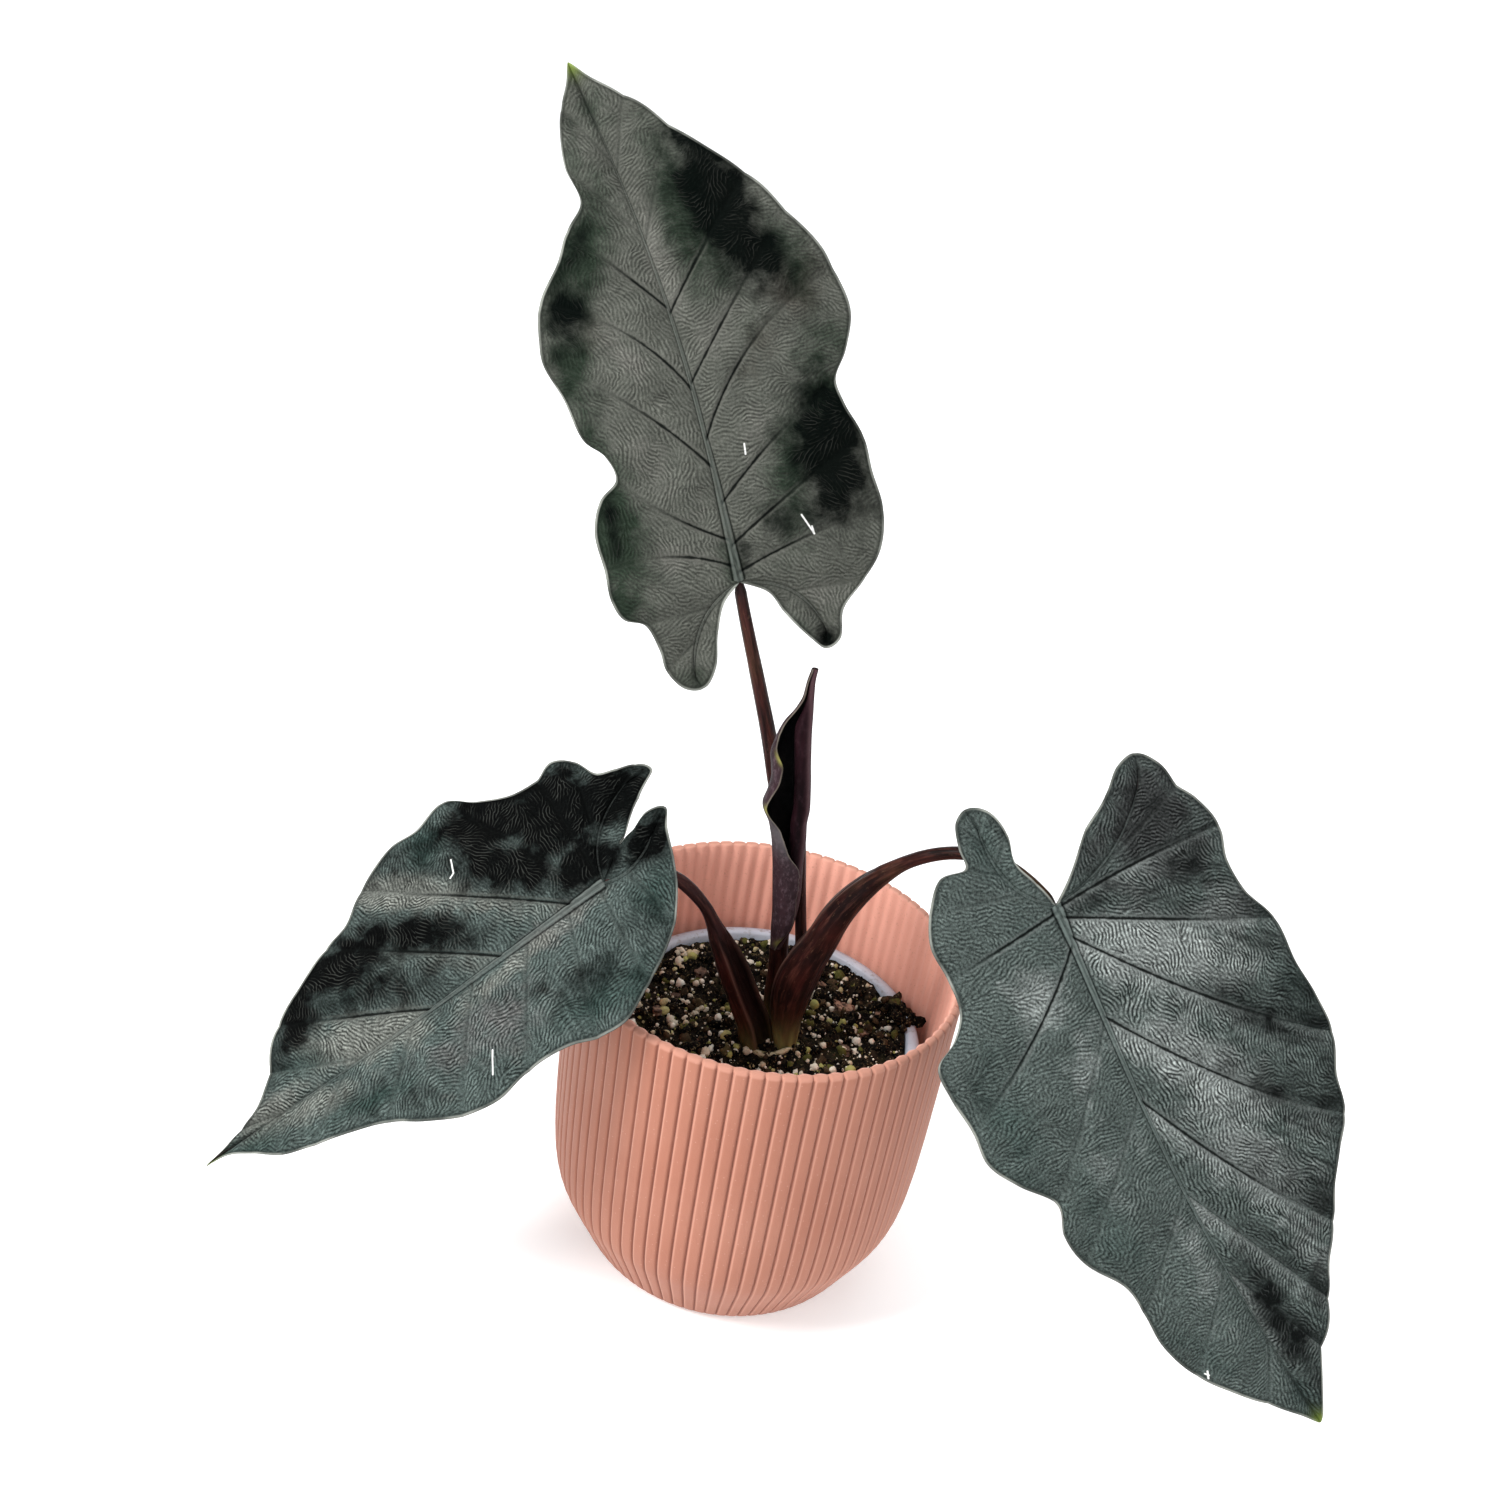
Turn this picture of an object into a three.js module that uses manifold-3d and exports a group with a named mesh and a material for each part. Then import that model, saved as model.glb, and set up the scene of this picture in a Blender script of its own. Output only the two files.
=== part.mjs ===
// A velvet alocasia in its nursery pot, which stands in a reeded cover pot.
// Millimetres, +Z up. The origin is the centre of the cover pot's flat underside,
// and the front of the plant looks along -Y.

import * as THREE from 'three';
import { mergeVertices } from 'three/addons/utils/BufferGeometryUtils.js';
import Module from 'manifold-3d';

const wasm = await Module();
wasm.setup();

// Gap kept between pieces that touch
const CLEARANCE = 0.3;

// Cover pot: crest radius at each height, from the underside to the rim
const COVER_HEIGHT = 128;
const COVER_FLOOR = 4;
const COVER_OUTSIDE = [[50.6, 0], [53.4, 3], [58.6, 13], [62.6, 21], [66, 29], [68.2, 44], [70, 126.6]];
const COVER_INSIDE = [
  [66.8, COVER_HEIGHT], [66.4, 100], [64.8, 44], [62.4, 29], [55.2, 13], [49, COVER_FLOOR],
];
const COVER_RIM_EASE = 0.7;
const RIB_COUNT = 84;
const GROOVE_DEPTH = 0.9;
const GROOVE_HALF_SHARE = 0.16;
const FIRST_GROOVE_ANGLE = 0.0147;

// Nursery pot, standing off centre in the cover pot
const NURSERY_CENTRE = new THREE.Vector2(2.4, 3.1);
const NURSERY_BASE_Z = COVER_FLOOR + CLEARANCE;
const NURSERY_TOP_Z = 94;
const NURSERY_BASE_RADIUS = 43;
const NURSERY_NECK_RADIUS = 54.5;
const NURSERY_RIM_RADIUS = 58;
const NURSERY_RIM_HEIGHT = 7;
const NURSERY_WALL = 1.2;
const NURSERY_SIDES = 48;
const DRAIN_HOLE_COUNT = 6;
const DRAIN_HOLE_RADIUS = 4;
const DRAIN_CIRCLE_RADIUS = 30;
const DRAIN_HOLE_SIDES = 10;

// Soil and the coarse grains on it
const SOIL_TOP_Z = 91.5;
const SOIL_GAP = 0.5;
const SOIL_RINGS = 9;
const SOIL_SECTORS = 40;
const SOIL_LUMP = 1.6;
const SOIL_CROWN = 2.4;
const SOIL_SEED = 7;
const GRAIN_COUNT = 44;
const GRAIN_RING_RADIUS = 47.5;
const GRAIN_MIN_SIZE = 1.8;
const GRAIN_MORE_SIZE = 2;
const GOLDEN_ANGLE = Math.PI * (3 - Math.sqrt(5));

// Bark chips on the soil: [x, y, size, turn in radians] from the nursery pot's centre
const BARK_CHIPS = [
  [29, 17, 5.5, 0.3], [31, -7, 4, 2], [-26, 22, 4.5, 1.1], [-14, -31, 4, 0.6], [8, 33, 4.5, 2.6],
];

// Short stem base under the leaf stalks
const CORM_CENTRE = new THREE.Vector2(6, -4);
const CORM_TOP_Z = 90;
const CORM_RADIUS = 13;
const CORM_BOTTOM_Z = 62;
const CORM_SIDES = 20;

// Leaf blades
const BLADE_THICKNESS = 0.8;
const EDGE_STEP = 7.5;
const FOOT_STEP = 8;
const COSTA_STEPS = 3;
const BLADE_ROWS = [0, 0.12, 0.45, 0.76, 1];
const KEEL_DEPTH = 2.2;
const VALLEY_DEPTH = 1.4;
const VALLEY_WIDTH = 7;
const FULL_PLEAT_LENGTH = 24;
const DROOP_REACH = 50;

// Each blade lies on a bent surface of its own. An edge point is [along, across] in mm,
// measured from where the stalk joins, along the midrib and across it. A third number
// marks the end of a side vein and gives that vein's foot: a place on the midrib in mm,
// or, below zero, how far along the lobe's own rib, out to its end at -1 and back at -2.
const LEAVES = {
  upright: {
    junction: [-31, 22, 253],
    tip: [-120, 108, 392],
    facing: [0, -0.83, 0.52],
    length: 188,
    bend: 0.45,
    droop: 7,
    bow: 5.5,
    lobeCurl: 0.004,
    pleat: 2.6,
    sinus: [0, 0],
    right: {
      costa: [[-4, 20], [-24, 23]],
      edge: [
        [177, 5], [168, 14, 142], [153, 25, 115], [141, 34], [130, 44, 90], [114, 53, 66],
        [99, 60], [91, 62, 47], [75, 63], [62, 57], [54, 51, 26], [45, 51], [33, 54, 12],
        [21, 53], [8, 53, 3], [-4, 48], [-12, 40, -0.5], [-19, 30], [-28, 26], [-30, 21, -1],
        [-25, 17], [-14, 11, -1.5], [-6, 8],
      ],
    },
    left: {
      costa: [[-4, -18], [-25, -24]],
      edge: [
        [177, -3], [170, -7, 145], [160, -10], [149, -12, 118], [133, -11], [127, -18, 92],
        [117, -24], [107, -34, 64], [94, -38], [88, -39, 38], [74, -36], [59, -34], [52, -29],
        [44, -28, 14], [39, -35], [30, -40], [17, -41, 5], [7, -42], [0, -40], [-4, -34, -0.35],
        [-13, -32], [-21, -32, -0.7], [-28, -28], [-30, -22, -1], [-24, -16], [-14, -12, -1.5],
        [-5, -7],
      ],
    },
  },
  left: {
    junction: [-57, -30, 162],
    tip: [-173, -77, 52],
    facing: [-0.27, -0.62, 0.74],
    length: 167.5,
    bend: 0.35,
    droop: 6,
    bow: -5,
    lobeCurl: 0.004,
    pleat: 2.4,
    sinus: [-9, 8],
    right: {
      costa: [[-2, 20], [-24, 30]],
      edge: [
        [156, -1], [148, 1, 132], [137, 3], [130, 11, 104], [121, 24, 76], [106, 31], [95, 38, 40],
        [84, 40], [76, 50, 12], [60, 58], [49, 58], [37, 64, 4], [25, 54], [13, 48], [3, 49, 0],
        [-4, 52], [-11, 48, -0.4], [-16, 37], [-22, 35], [-29, 34, -0.9], [-33, 29, -1],
        [-24, 21, -1.3], [-14, 11, -2],
      ],
    },
    left: {
      costa: [[-10, -4], [-22, 7]],
      edge: [
        [155, -4], [148, -8, 132], [135, -17], [125, -20, 104], [110, -25], [98, -29, 76],
        [87, -36], [76, -41, 52], [62, -44], [50, -41, 30], [35, -42], [26, -44, 14], [15, -45],
        [3, -38, 2], [-6, -33], [-14, -25, -0.4], [-20, -16], [-24, -5, -0.8], [-27, 5],
        [-30, 13, -1], [-24, 14], [-17, 11, -2],
      ],
    },
  },
  right: {
    junction: [86, -35, 188],
    tip: [208, -79, 36],
    facing: [0.2, -0.86, 0.45],
    length: 201.5,
    bend: 0.45,
    droop: 8,
    bow: 8,
    lobeCurl: 0.003,
    pleat: 3,
    sinus: [0, 0],
    right: {
      costa: [[-10, 14], [-32, 9]],
      edge: [
        [190, 6], [181, 14, 160], [167, 24], [158, 31, 128], [140, 37], [129, 37, 98], [116, 39],
        [105, 46, 64], [92, 48], [83, 45, 38], [71, 53], [61, 58], [50, 57, 13], [37, 58],
        [26, 57], [21, 49], [14, 43], [4, 41, 2], [-8, 41], [-17, 36, -0.35], [-25, 28],
        [-24, 19, -0.6], [-30, 18], [-38, 14, -0.9], [-40, 9, -1], [-36, 4], [-27, 2, -1.3],
        [-18, 5], [-9, 2, -1.8],
      ],
    },
    left: {
      costa: [[0, -26], [-20, -46]],
      edge: [
        [187, -3], [173, -10, 130], [159, -19, 100], [145, -24], [137, -32, 66], [124, -38],
        [116, -45], [110, -53, 37], [95, -56], [85, -63, 10], [70, -63], [57, -62], [42, -64, 4],
        [27, -58], [16, -58], [6, -63, 1], [-6, -60], [-13, -57, -0.4], [-22, -55],
        [-29, -50, -1], [-28, -41], [-22, -33, -1.25], [-16, -21, -1.6], [-7, -9],
      ],
    },
  },
};

// Leaf stalks: each point is [x, y, z, half width], from the stem base up to the blade.
// The first points are the wider sheath.
const STALKS = {
  left: [
    [2.2, -9, 90.5, 6.1], [-1.3, -9, 102, 6], [-5.2, -9, 110, 5.8], [-9.4, -9, 118.5, 5.6],
    [-13, -9.5, 126.5, 5.2], [-17.5, -10, 135, 3.8], [-20.4, -10.5, 141, 2.5],
    [-23.2, -11, 146.3, 2.2], [-26.5, -12, 150.8, 2.2], [-30.2, -13, 154.8, 2.3],
    [-34, -14.5, 158.3, 2.3], [-39.5, -17, 161.5, 2.3], [-45, -20, 163.3, 2.3],
    [-50, -23, 163.7, 2.2], [-54.5, -27, 162.3, 2],
  ],
  right: [
    [12.3, -8, 90.5, 3.4], [10.6, -8, 103, 5.4], [10.2, -8, 113, 7], [11.2, -8, 123, 7.8],
    [13.3, -8, 131.5, 7.2], [16.4, -8, 139.5, 6.3], [19, -8, 147.5, 5.9], [22, -8.5, 155, 5.3],
    [25.6, -9.2, 162, 4.7], [29.6, -10, 168.3, 4], [34, -12, 174.5, 3], [38.8, -13, 179.7, 2.3],
    [44, -14.5, 184.2, 2.2], [49.6, -16, 187.7, 2.2], [54.8, -18, 190.3, 2.2],
    [61, -20.5, 192.2, 2.2], [69, -24, 192.8, 2.1], [77, -29, 191.2, 2.1],
    [83.5, -32.5, 188, 2],
  ],
  upright: [
    [6.5, 4.8, 90.5, 4.2], [5.2, 6.8, 98, 4], [4.3, 7.5, 106.5, 3.9], [3.9, 8.2, 115, 3.7],
    [3.1, 9, 123, 3.5], [2.3, 9.7, 133.5, 3.3], [0.4, 10.7, 147.5, 3.2], [-1.9, 11.7, 161, 3],
    [-3.9, 12.5, 172.5, 3], [-5.8, 13.2, 180, 2.9], [-8.2, 14, 187, 2.8],
    [-12.6, 15.8, 201, 2.7], [-17.5, 18.3, 214.3, 2.5], [-22.4, 20.6, 227.3, 2.3],
    [-27.2, 22.5, 240, 2.1], [-30.2, 23.2, 249, 2], [-31, 22.6, 252.5, 2],
  ],
  new: [
    [13.3, 2.8, 91, 2.4], [13.8, 4, 102, 2.4], [13.3, 4.6, 113, 2.3], [12.1, 4.4, 122, 2.2],
    [9.2, 3.8, 139, 2], [6.6, 3.2, 155.5, 1.9], [4.7, 2.8, 168, 1.8], [3.4, 2.4, 176.5, 1.6],
  ],
};
const STALK_SIDES = 10;
const STALK_RINGS_PER_POINT = 1.4;

// The new leaf is still rolled up along its midrib. Each point is
// [x, y, z, roll radius, turn of the open roll in degrees].
const NEW_LEAF_ROLL = [
  [2.2, -1, 129, 1.6, 200], [3, -1, 137, 3.2, 208], [3.1, -1, 144.5, 4.2, 215],
  [2.4, -1, 155.5, 4.9, 235], [1, -1, 164.5, 4.9, 255], [0.1, -1, 173, 5.6, 290],
  [-1.5, -1, 180.5, 6.2, 340], [-3, -1, 186, 8, 400], [-2.7, -1, 190, 7.2, 420],
  [-2.7, -1, 196.5, 6.3, 440], [-4.4, -1, 206, 6.6, 450], [-4.3, -1, 211.5, 5.7, 450],
  [-3.7, -1, 217.5, 4.4, 450], [-2.6, -1, 221.5, 2.9, 450], [-1.9, -1, 227, 1.6, 440],
  [-2, -1, 233.5, 1.1, 430], [-1.4, -1, 238, 0.8, 420],
];
const ROLL_COLUMNS = 14;
const ROLL_THICKNESS = 0.7;
const ROLL_TIGHTNESS = 0.34;
const ROLL_START_DEGREES = 20;

// Geometry helpers

function makeGeometry(positions, triangles) {
  const geometry = new THREE.BufferGeometry();
  const coordinates = positions.flatMap((point) => [point.x, point.y, point.z]);
  geometry.setAttribute('position', new THREE.Float32BufferAttribute(coordinates, 3));
  geometry.setIndex(triangles);
  return geometry;
}

function toSolid(geometry) {
  const bare = geometry.clone();
  bare.deleteAttribute('normal');
  bare.deleteAttribute('uv');
  const merged = mergeVertices(bare, 1e-4);
  const corners = Array.from(merged.index.array);
  const kept = [];
  for (let i = 0; i < corners.length; i += 3) {
    const [a, b, c] = corners.slice(i, i + 3);
    if (a !== b && b !== c && c !== a) kept.push(a, b, c);
  }
  const vertProperties = Float32Array.from(merged.attributes.position.array);
  const triVerts = Uint32Array.from(kept);
  return new wasm.Manifold(new wasm.Mesh({ numProp: 3, vertProperties, triVerts }));
}

function largestBody(solid) {
  const bodies = solid.decompose();
  return bodies.reduce((best, body) => (body.volume() > best.volume() ? body : best));
}

function toGeometry(solid) {
  const mesh = solid.getMesh();
  const geometry = new THREE.BufferGeometry();
  const coordinates = Float32Array.from(mesh.vertProperties);
  geometry.setAttribute('position', new THREE.Float32BufferAttribute(coordinates, 3));
  geometry.setIndex(Array.from(mesh.triVerts));
  return geometry;
}

// Joins two closed rings of points with triangles that face outward when both rings
// run counter-clockwise seen from above and the first ring is the lower one.
function stitchRings(triangles, lower, upper) {
  let i = 0;
  let j = 0;
  while (i < lower.length || j < upper.length) {
    const advanceLower = (i + 1) / lower.length <= (j + 1) / upper.length;
    if (j === upper.length || (i < lower.length && advanceLower)) {
      triangles.push(lower[i % lower.length], lower[(i + 1) % lower.length], upper[j % upper.length]);
      i += 1;
    } else {
      triangles.push(lower[i % lower.length], upper[(j + 1) % upper.length], upper[j % upper.length]);
      j += 1;
    }
  }
}

function ringIndices(positions, points) {
  return points.map((point) => positions.push(point) - 1);
}

function closeRing(positions, triangles, ring, centre, facesUp) {
  const hub = positions.push(centre) - 1;
  ring.forEach((index, k) => {
    const next = ring[(k + 1) % ring.length];
    triangles.push(...(facesUp ? [index, next, hub] : [next, index, hub]));
  });
}

function seededRandom(seed) {
  let state = seed >>> 0;
  return () => {
    state = (state + 0x6d2b79f5) >>> 0;
    let mixed = Math.imul(state ^ (state >>> 15), 1 | state);
    mixed = (mixed + Math.imul(mixed ^ (mixed >>> 7), 61 | mixed)) ^ mixed;
    return ((mixed ^ (mixed >>> 14)) >>> 0) / 4294967296;
  };
}

// Cover pot: broad flat ribs outside with narrow grooves between them, a plain inside wall
function coverPot() {
  const positions = [];
  const triangles = [];
  const pitch = (2 * Math.PI) / RIB_COUNT;
  const onCircle = (radius, angle, z) => (
    new THREE.Vector3(radius * Math.cos(angle), radius * Math.sin(angle), z)
  );
  const ribRing = (radius, z, grooveDepth) => {
    const points = [];
    const rib = [[0, grooveDepth], [GROOVE_HALF_SHARE, 0], [1 - GROOVE_HALF_SHARE, 0]];
    for (let k = 0; k < RIB_COUNT; k += 1) {
      for (const [share, depth] of rib) {
        points.push(onCircle(radius - depth, FIRST_GROOVE_ANGLE + (k + share) * pitch, z));
      }
    }
    return ringIndices(positions, points);
  };
  const plainRing = (radius, z) => {
    const points = [];
    for (let k = 0; k < RIB_COUNT; k += 1) points.push(onCircle(radius, FIRST_GROOVE_ANGLE + k * pitch, z));
    return ringIndices(positions, points);
  };
  const underside = plainRing(COVER_OUTSIDE[0][0], 0);
  closeRing(positions, triangles, underside, new THREE.Vector3(0, 0, 0), false);
  let below = underside;
  for (const [radius, z] of COVER_OUTSIDE.slice(1)) {
    const ring = ribRing(radius, z, GROOVE_DEPTH);
    stitchRings(triangles, below, ring);
    below = ring;
  }
  const rimRadius = COVER_OUTSIDE.at(-1)[0] - COVER_RIM_EASE;
  const rimEdge = ribRing(rimRadius, COVER_HEIGHT, GROOVE_DEPTH - COVER_RIM_EASE / 2);
  stitchRings(triangles, below, rimEdge);
  below = rimEdge;
  for (const [radius, z] of COVER_INSIDE) {
    const ring = plainRing(radius, z);
    stitchRings(triangles, below, ring);
    below = ring;
  }
  closeRing(positions, triangles, below, new THREE.Vector3(0, 0, COVER_FLOOR), true);
  return toGeometry(toSolid(makeGeometry(positions, triangles)));
}

// Nursery pot: a thin tapered wall with a deep rim band and drain holes in its floor
function nurseryPot() {
  const profile = [
    [0, NURSERY_BASE_Z],
    [NURSERY_BASE_RADIUS, NURSERY_BASE_Z],
    [NURSERY_NECK_RADIUS, NURSERY_TOP_Z - NURSERY_RIM_HEIGHT],
    [NURSERY_RIM_RADIUS, NURSERY_TOP_Z - NURSERY_RIM_HEIGHT],
    [NURSERY_RIM_RADIUS, NURSERY_TOP_Z],
    [NURSERY_NECK_RADIUS - NURSERY_WALL, NURSERY_TOP_Z],
    [NURSERY_NECK_RADIUS - NURSERY_WALL, NURSERY_TOP_Z - NURSERY_RIM_HEIGHT],
    [NURSERY_BASE_RADIUS - NURSERY_WALL, NURSERY_BASE_Z + NURSERY_WALL],
    [0, NURSERY_BASE_Z + NURSERY_WALL],
  ];
  const lathe = new THREE.LatheGeometry(profile.map(([r, z]) => new THREE.Vector2(r, z)), NURSERY_SIDES);
  lathe.rotateX(Math.PI / 2);
  lathe.translate(NURSERY_CENTRE.x, NURSERY_CENTRE.y, 0);
  let pot = toSolid(lathe);
  for (let hole = 0; hole < DRAIN_HOLE_COUNT; hole += 1) {
    const angle = (hole * 2 * Math.PI) / DRAIN_HOLE_COUNT;
    const depth = 6 * NURSERY_WALL;
    const drill = new THREE.CylinderGeometry(DRAIN_HOLE_RADIUS, DRAIN_HOLE_RADIUS, depth, DRAIN_HOLE_SIDES);
    drill.rotateX(Math.PI / 2);
    drill.translate(
      NURSERY_CENTRE.x + DRAIN_CIRCLE_RADIUS * Math.cos(angle),
      NURSERY_CENTRE.y + DRAIN_CIRCLE_RADIUS * Math.sin(angle),
      NURSERY_BASE_Z,
    );
    pot = pot.subtract(toSolid(drill));
  }
  return toGeometry(pot);
}

// Stalks: round rings along a smooth line, wide at the sheath. A stalk grown by the
// clearance is what its neighbours are cut with.
function stalkSolid(points, grow) {
  const path = new THREE.CatmullRomCurve3(points.map(([x, y, z]) => new THREE.Vector3(x, y, z)));
  const steps = Math.round(points.length * STALK_RINGS_PER_POINT);
  const positions = [];
  const triangles = [];
  let below = null;
  const side = new THREE.Vector3();
  const front = new THREE.Vector3();
  for (let step = 0; step <= steps; step += 1) {
    const t = step / steps;
    const slot = t * (points.length - 1);
    const k = Math.min(Math.floor(slot), points.length - 2);
    const radius = THREE.MathUtils.lerp(points[k][3], points[k + 1][3], slot - k) + grow;
    const along = path.getTangent(t);
    const centre = path.getPoint(t);
    if (step === 0) centre.addScaledVector(along, -grow);
    if (step === steps) centre.addScaledVector(along, grow);
    side.crossVectors(new THREE.Vector3(0, 1, 0), along).normalize();
    front.crossVectors(along, side).normalize();
    const ring = [];
    for (let i = 0; i < STALK_SIDES; i += 1) {
      const angle = (i * 2 * Math.PI) / STALK_SIDES;
      ring.push(centre.clone()
        .addScaledVector(side, radius * Math.cos(angle))
        .addScaledVector(front, radius * Math.sin(angle)));
    }
    const indices = ringIndices(positions, ring);
    if (below) stitchRings(triangles, below, indices);
    else closeRing(positions, triangles, indices, centre.clone(), false);
    if (step === steps) closeRing(positions, triangles, indices, centre.clone(), true);
    below = indices;
  }
  return toSolid(makeGeometry(positions, triangles));
}

// Stem base: a blunt knob below the stalks, grown like them to cut its neighbours
function cormSolid(grow) {
  const top = CORM_TOP_Z - CLEARANCE + grow;
  const profile = [
    [0, CORM_BOTTOM_Z - grow],
    [CORM_RADIUS * 0.4 + grow, CORM_BOTTOM_Z - grow],
    [CORM_RADIUS * 0.85 + grow, CORM_BOTTOM_Z + 9],
    [CORM_RADIUS + grow, CORM_TOP_Z - 10],
    [CORM_RADIUS * 0.92 + grow, top],
    [0, top],
  ];
  const lathe = new THREE.LatheGeometry(profile.map(([r, z]) => new THREE.Vector2(r, z)), CORM_SIDES);
  lathe.rotateX(Math.PI / 2);
  lathe.translate(CORM_CENTRE.x, CORM_CENTRE.y, 0);
  return toSolid(lathe);
}

// Soil: a lumpy fill, a little higher round the stem, with coarse grains and bark chips
// joined to it, and cut free of the stalks
function soilHeight(x, y) {
  const broad = Math.sin(x * 0.16 + 1.3) * Math.cos(y * 0.14 - 0.4) + 0.7 * Math.sin(x * 0.31 - y * 0.27);
  const crown = SOIL_CROWN * Math.exp(-((x - CORM_CENTRE.x) ** 2 + (y - CORM_CENTRE.y) ** 2) / 500);
  return SOIL_TOP_Z + SOIL_LUMP * 0.6 * broad + crown;
}

function soilFill() {
  const random = seededRandom(SOIL_SEED);
  const positions = [];
  const triangles = [];
  const topRadius = NURSERY_NECK_RADIUS - NURSERY_WALL - SOIL_GAP;
  const hub = positions.push(new THREE.Vector3(NURSERY_CENTRE.x, NURSERY_CENTRE.y, soilHeight(0, 0))) - 1;
  let inner = null;
  for (let ring = 1; ring <= SOIL_RINGS; ring += 1) {
    const points = [];
    for (let sector = 0; sector < SOIL_SECTORS; sector += 1) {
      const angle = ((sector + 0.5 * (ring % 2)) * 2 * Math.PI) / SOIL_SECTORS;
      const radius = (topRadius * ring) / SOIL_RINGS;
      const x = NURSERY_CENTRE.x + radius * Math.cos(angle);
      const y = NURSERY_CENTRE.y + radius * Math.sin(angle);
      points.push(new THREE.Vector3(x, y, soilHeight(x, y) + (random() - 0.5) * SOIL_LUMP));
    }
    const indices = ringIndices(positions, points);
    if (inner) stitchRings(triangles, indices, inner);
    else indices.forEach((index, k) => triangles.push(index, indices[(k + 1) % indices.length], hub));
    inner = indices;
  }
  const floorRadius = NURSERY_BASE_RADIUS - NURSERY_WALL - SOIL_GAP;
  const floorZ = NURSERY_BASE_Z + NURSERY_WALL + CLEARANCE;
  const floor = [];
  for (let sector = 0; sector < SOIL_SECTORS; sector += 1) {
    const angle = ((sector + 0.5 * (SOIL_RINGS % 2)) * 2 * Math.PI) / SOIL_SECTORS;
    floor.push(new THREE.Vector3(
      NURSERY_CENTRE.x + floorRadius * Math.cos(angle),
      NURSERY_CENTRE.y + floorRadius * Math.sin(angle),
      floorZ,
    ));
  }
  const floorRing = ringIndices(positions, floor);
  const floorHub = new THREE.Vector3(NURSERY_CENTRE.x, NURSERY_CENTRE.y, floorZ);
  stitchRings(triangles, floorRing, inner);
  closeRing(positions, triangles, floorRing, floorHub, false);
  return toSolid(makeGeometry(positions, triangles));
}

function soil(cutters) {
  const random = seededRandom(SOIL_SEED + 1);
  let body = soilFill();
  for (let grain = 0; grain < GRAIN_COUNT; grain += 1) {
    const radius = GRAIN_RING_RADIUS * Math.sqrt((grain + 0.5) / GRAIN_COUNT);
    const angle = grain * GOLDEN_ANGLE + random() * 0.5;
    const x = NURSERY_CENTRE.x + radius * Math.cos(angle);
    const y = NURSERY_CENTRE.y + radius * Math.sin(angle);
    const size = GRAIN_MIN_SIZE + GRAIN_MORE_SIZE * random();
    const lump = new THREE.OctahedronGeometry(size, 0);
    lump.rotateX(random() * Math.PI);
    lump.rotateZ(random() * 2 * Math.PI);
    lump.scale(1, 0.8, 0.75);
    lump.translate(x, y, soilHeight(x, y) + size * 0.05);
    body = body.add(toSolid(lump));
  }
  for (const [x, y, size, turn] of BARK_CHIPS) {
    const chip = new THREE.BoxGeometry(size * 1.9, size, size * 0.6);
    chip.rotateY(0.25);
    chip.rotateZ(turn);
    chip.translate(NURSERY_CENTRE.x + x, NURSERY_CENTRE.y + y, soilHeight(x, y) + size * 0.2);
    body = body.add(toSolid(chip));
  }
  for (const cutter of cutters) body = body.subtract(cutter);
  return toGeometry(largestBody(body));
}

// Leaf blades

function bladeSurface(leaf) {
  const junction = new THREE.Vector3(...leaf.junction);
  const chord = new THREE.Vector3(...leaf.tip).sub(junction).normalize();
  const facing = new THREE.Vector3(...leaf.facing);
  facing.addScaledVector(chord, -facing.dot(chord)).normalize();
  const across = new THREE.Vector3().crossVectors(chord, facing);
  const half = leaf.bend / 2;
  const start = chord.clone().multiplyScalar(Math.cos(half)).addScaledVector(facing, Math.sin(half));
  const up = facing.clone().multiplyScalar(Math.cos(half)).addScaledVector(chord, -Math.sin(half));
  return (u, v, height) => {
    const curvature = u >= 0 ? leaf.bend / leaf.length : leaf.lobeCurl;
    const turn = curvature * u;
    const lift = height - leaf.droop * (v / DROOP_REACH) ** 2;
    return junction.clone()
      .addScaledVector(start, Math.sin(turn) / curvature + Math.sin(turn) * lift)
      .addScaledVector(up, (Math.cos(turn) - 1) / curvature + Math.cos(turn) * lift)
      .addScaledVector(across, v);
  };
}

// The foot that an edge point hangs on, as a whole step: along the midrib from the tip,
// out along the lobe's rib and back, then on to the notch
function footStep(leaf, foot) {
  const midribSteps = Math.round(leaf.length / FOOT_STEP);
  if (foot >= 0) return midribSteps - Math.round((foot / leaf.length) * midribSteps);
  if (foot >= -2) return midribSteps + Math.round(-foot * COSTA_STEPS);
  return midribSteps + 2 * COSTA_STEPS + Math.round(-foot - 2);
}

function footPoint(leaf, side, step) {
  const midribSteps = Math.round(leaf.length / FOOT_STEP);
  if (step <= midribSteps) {
    const u = leaf.length * (1 - step / midribSteps);
    return new THREE.Vector2(u, leaf.bow * Math.sin((Math.PI * u) / leaf.length));
  }
  const out = (step - midribSteps) / COSTA_STEPS;
  if (out > 2) return new THREE.Vector2(...leaf.sinus);
  const t = out <= 1 ? out : 2 - out;
  const [control, end] = side.costa;
  return new THREE.Vector2(
    2 * t * (1 - t) * control[0] + t * t * end[0],
    2 * t * (1 - t) * control[1] + t * t * end[1],
  );
}

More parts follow.
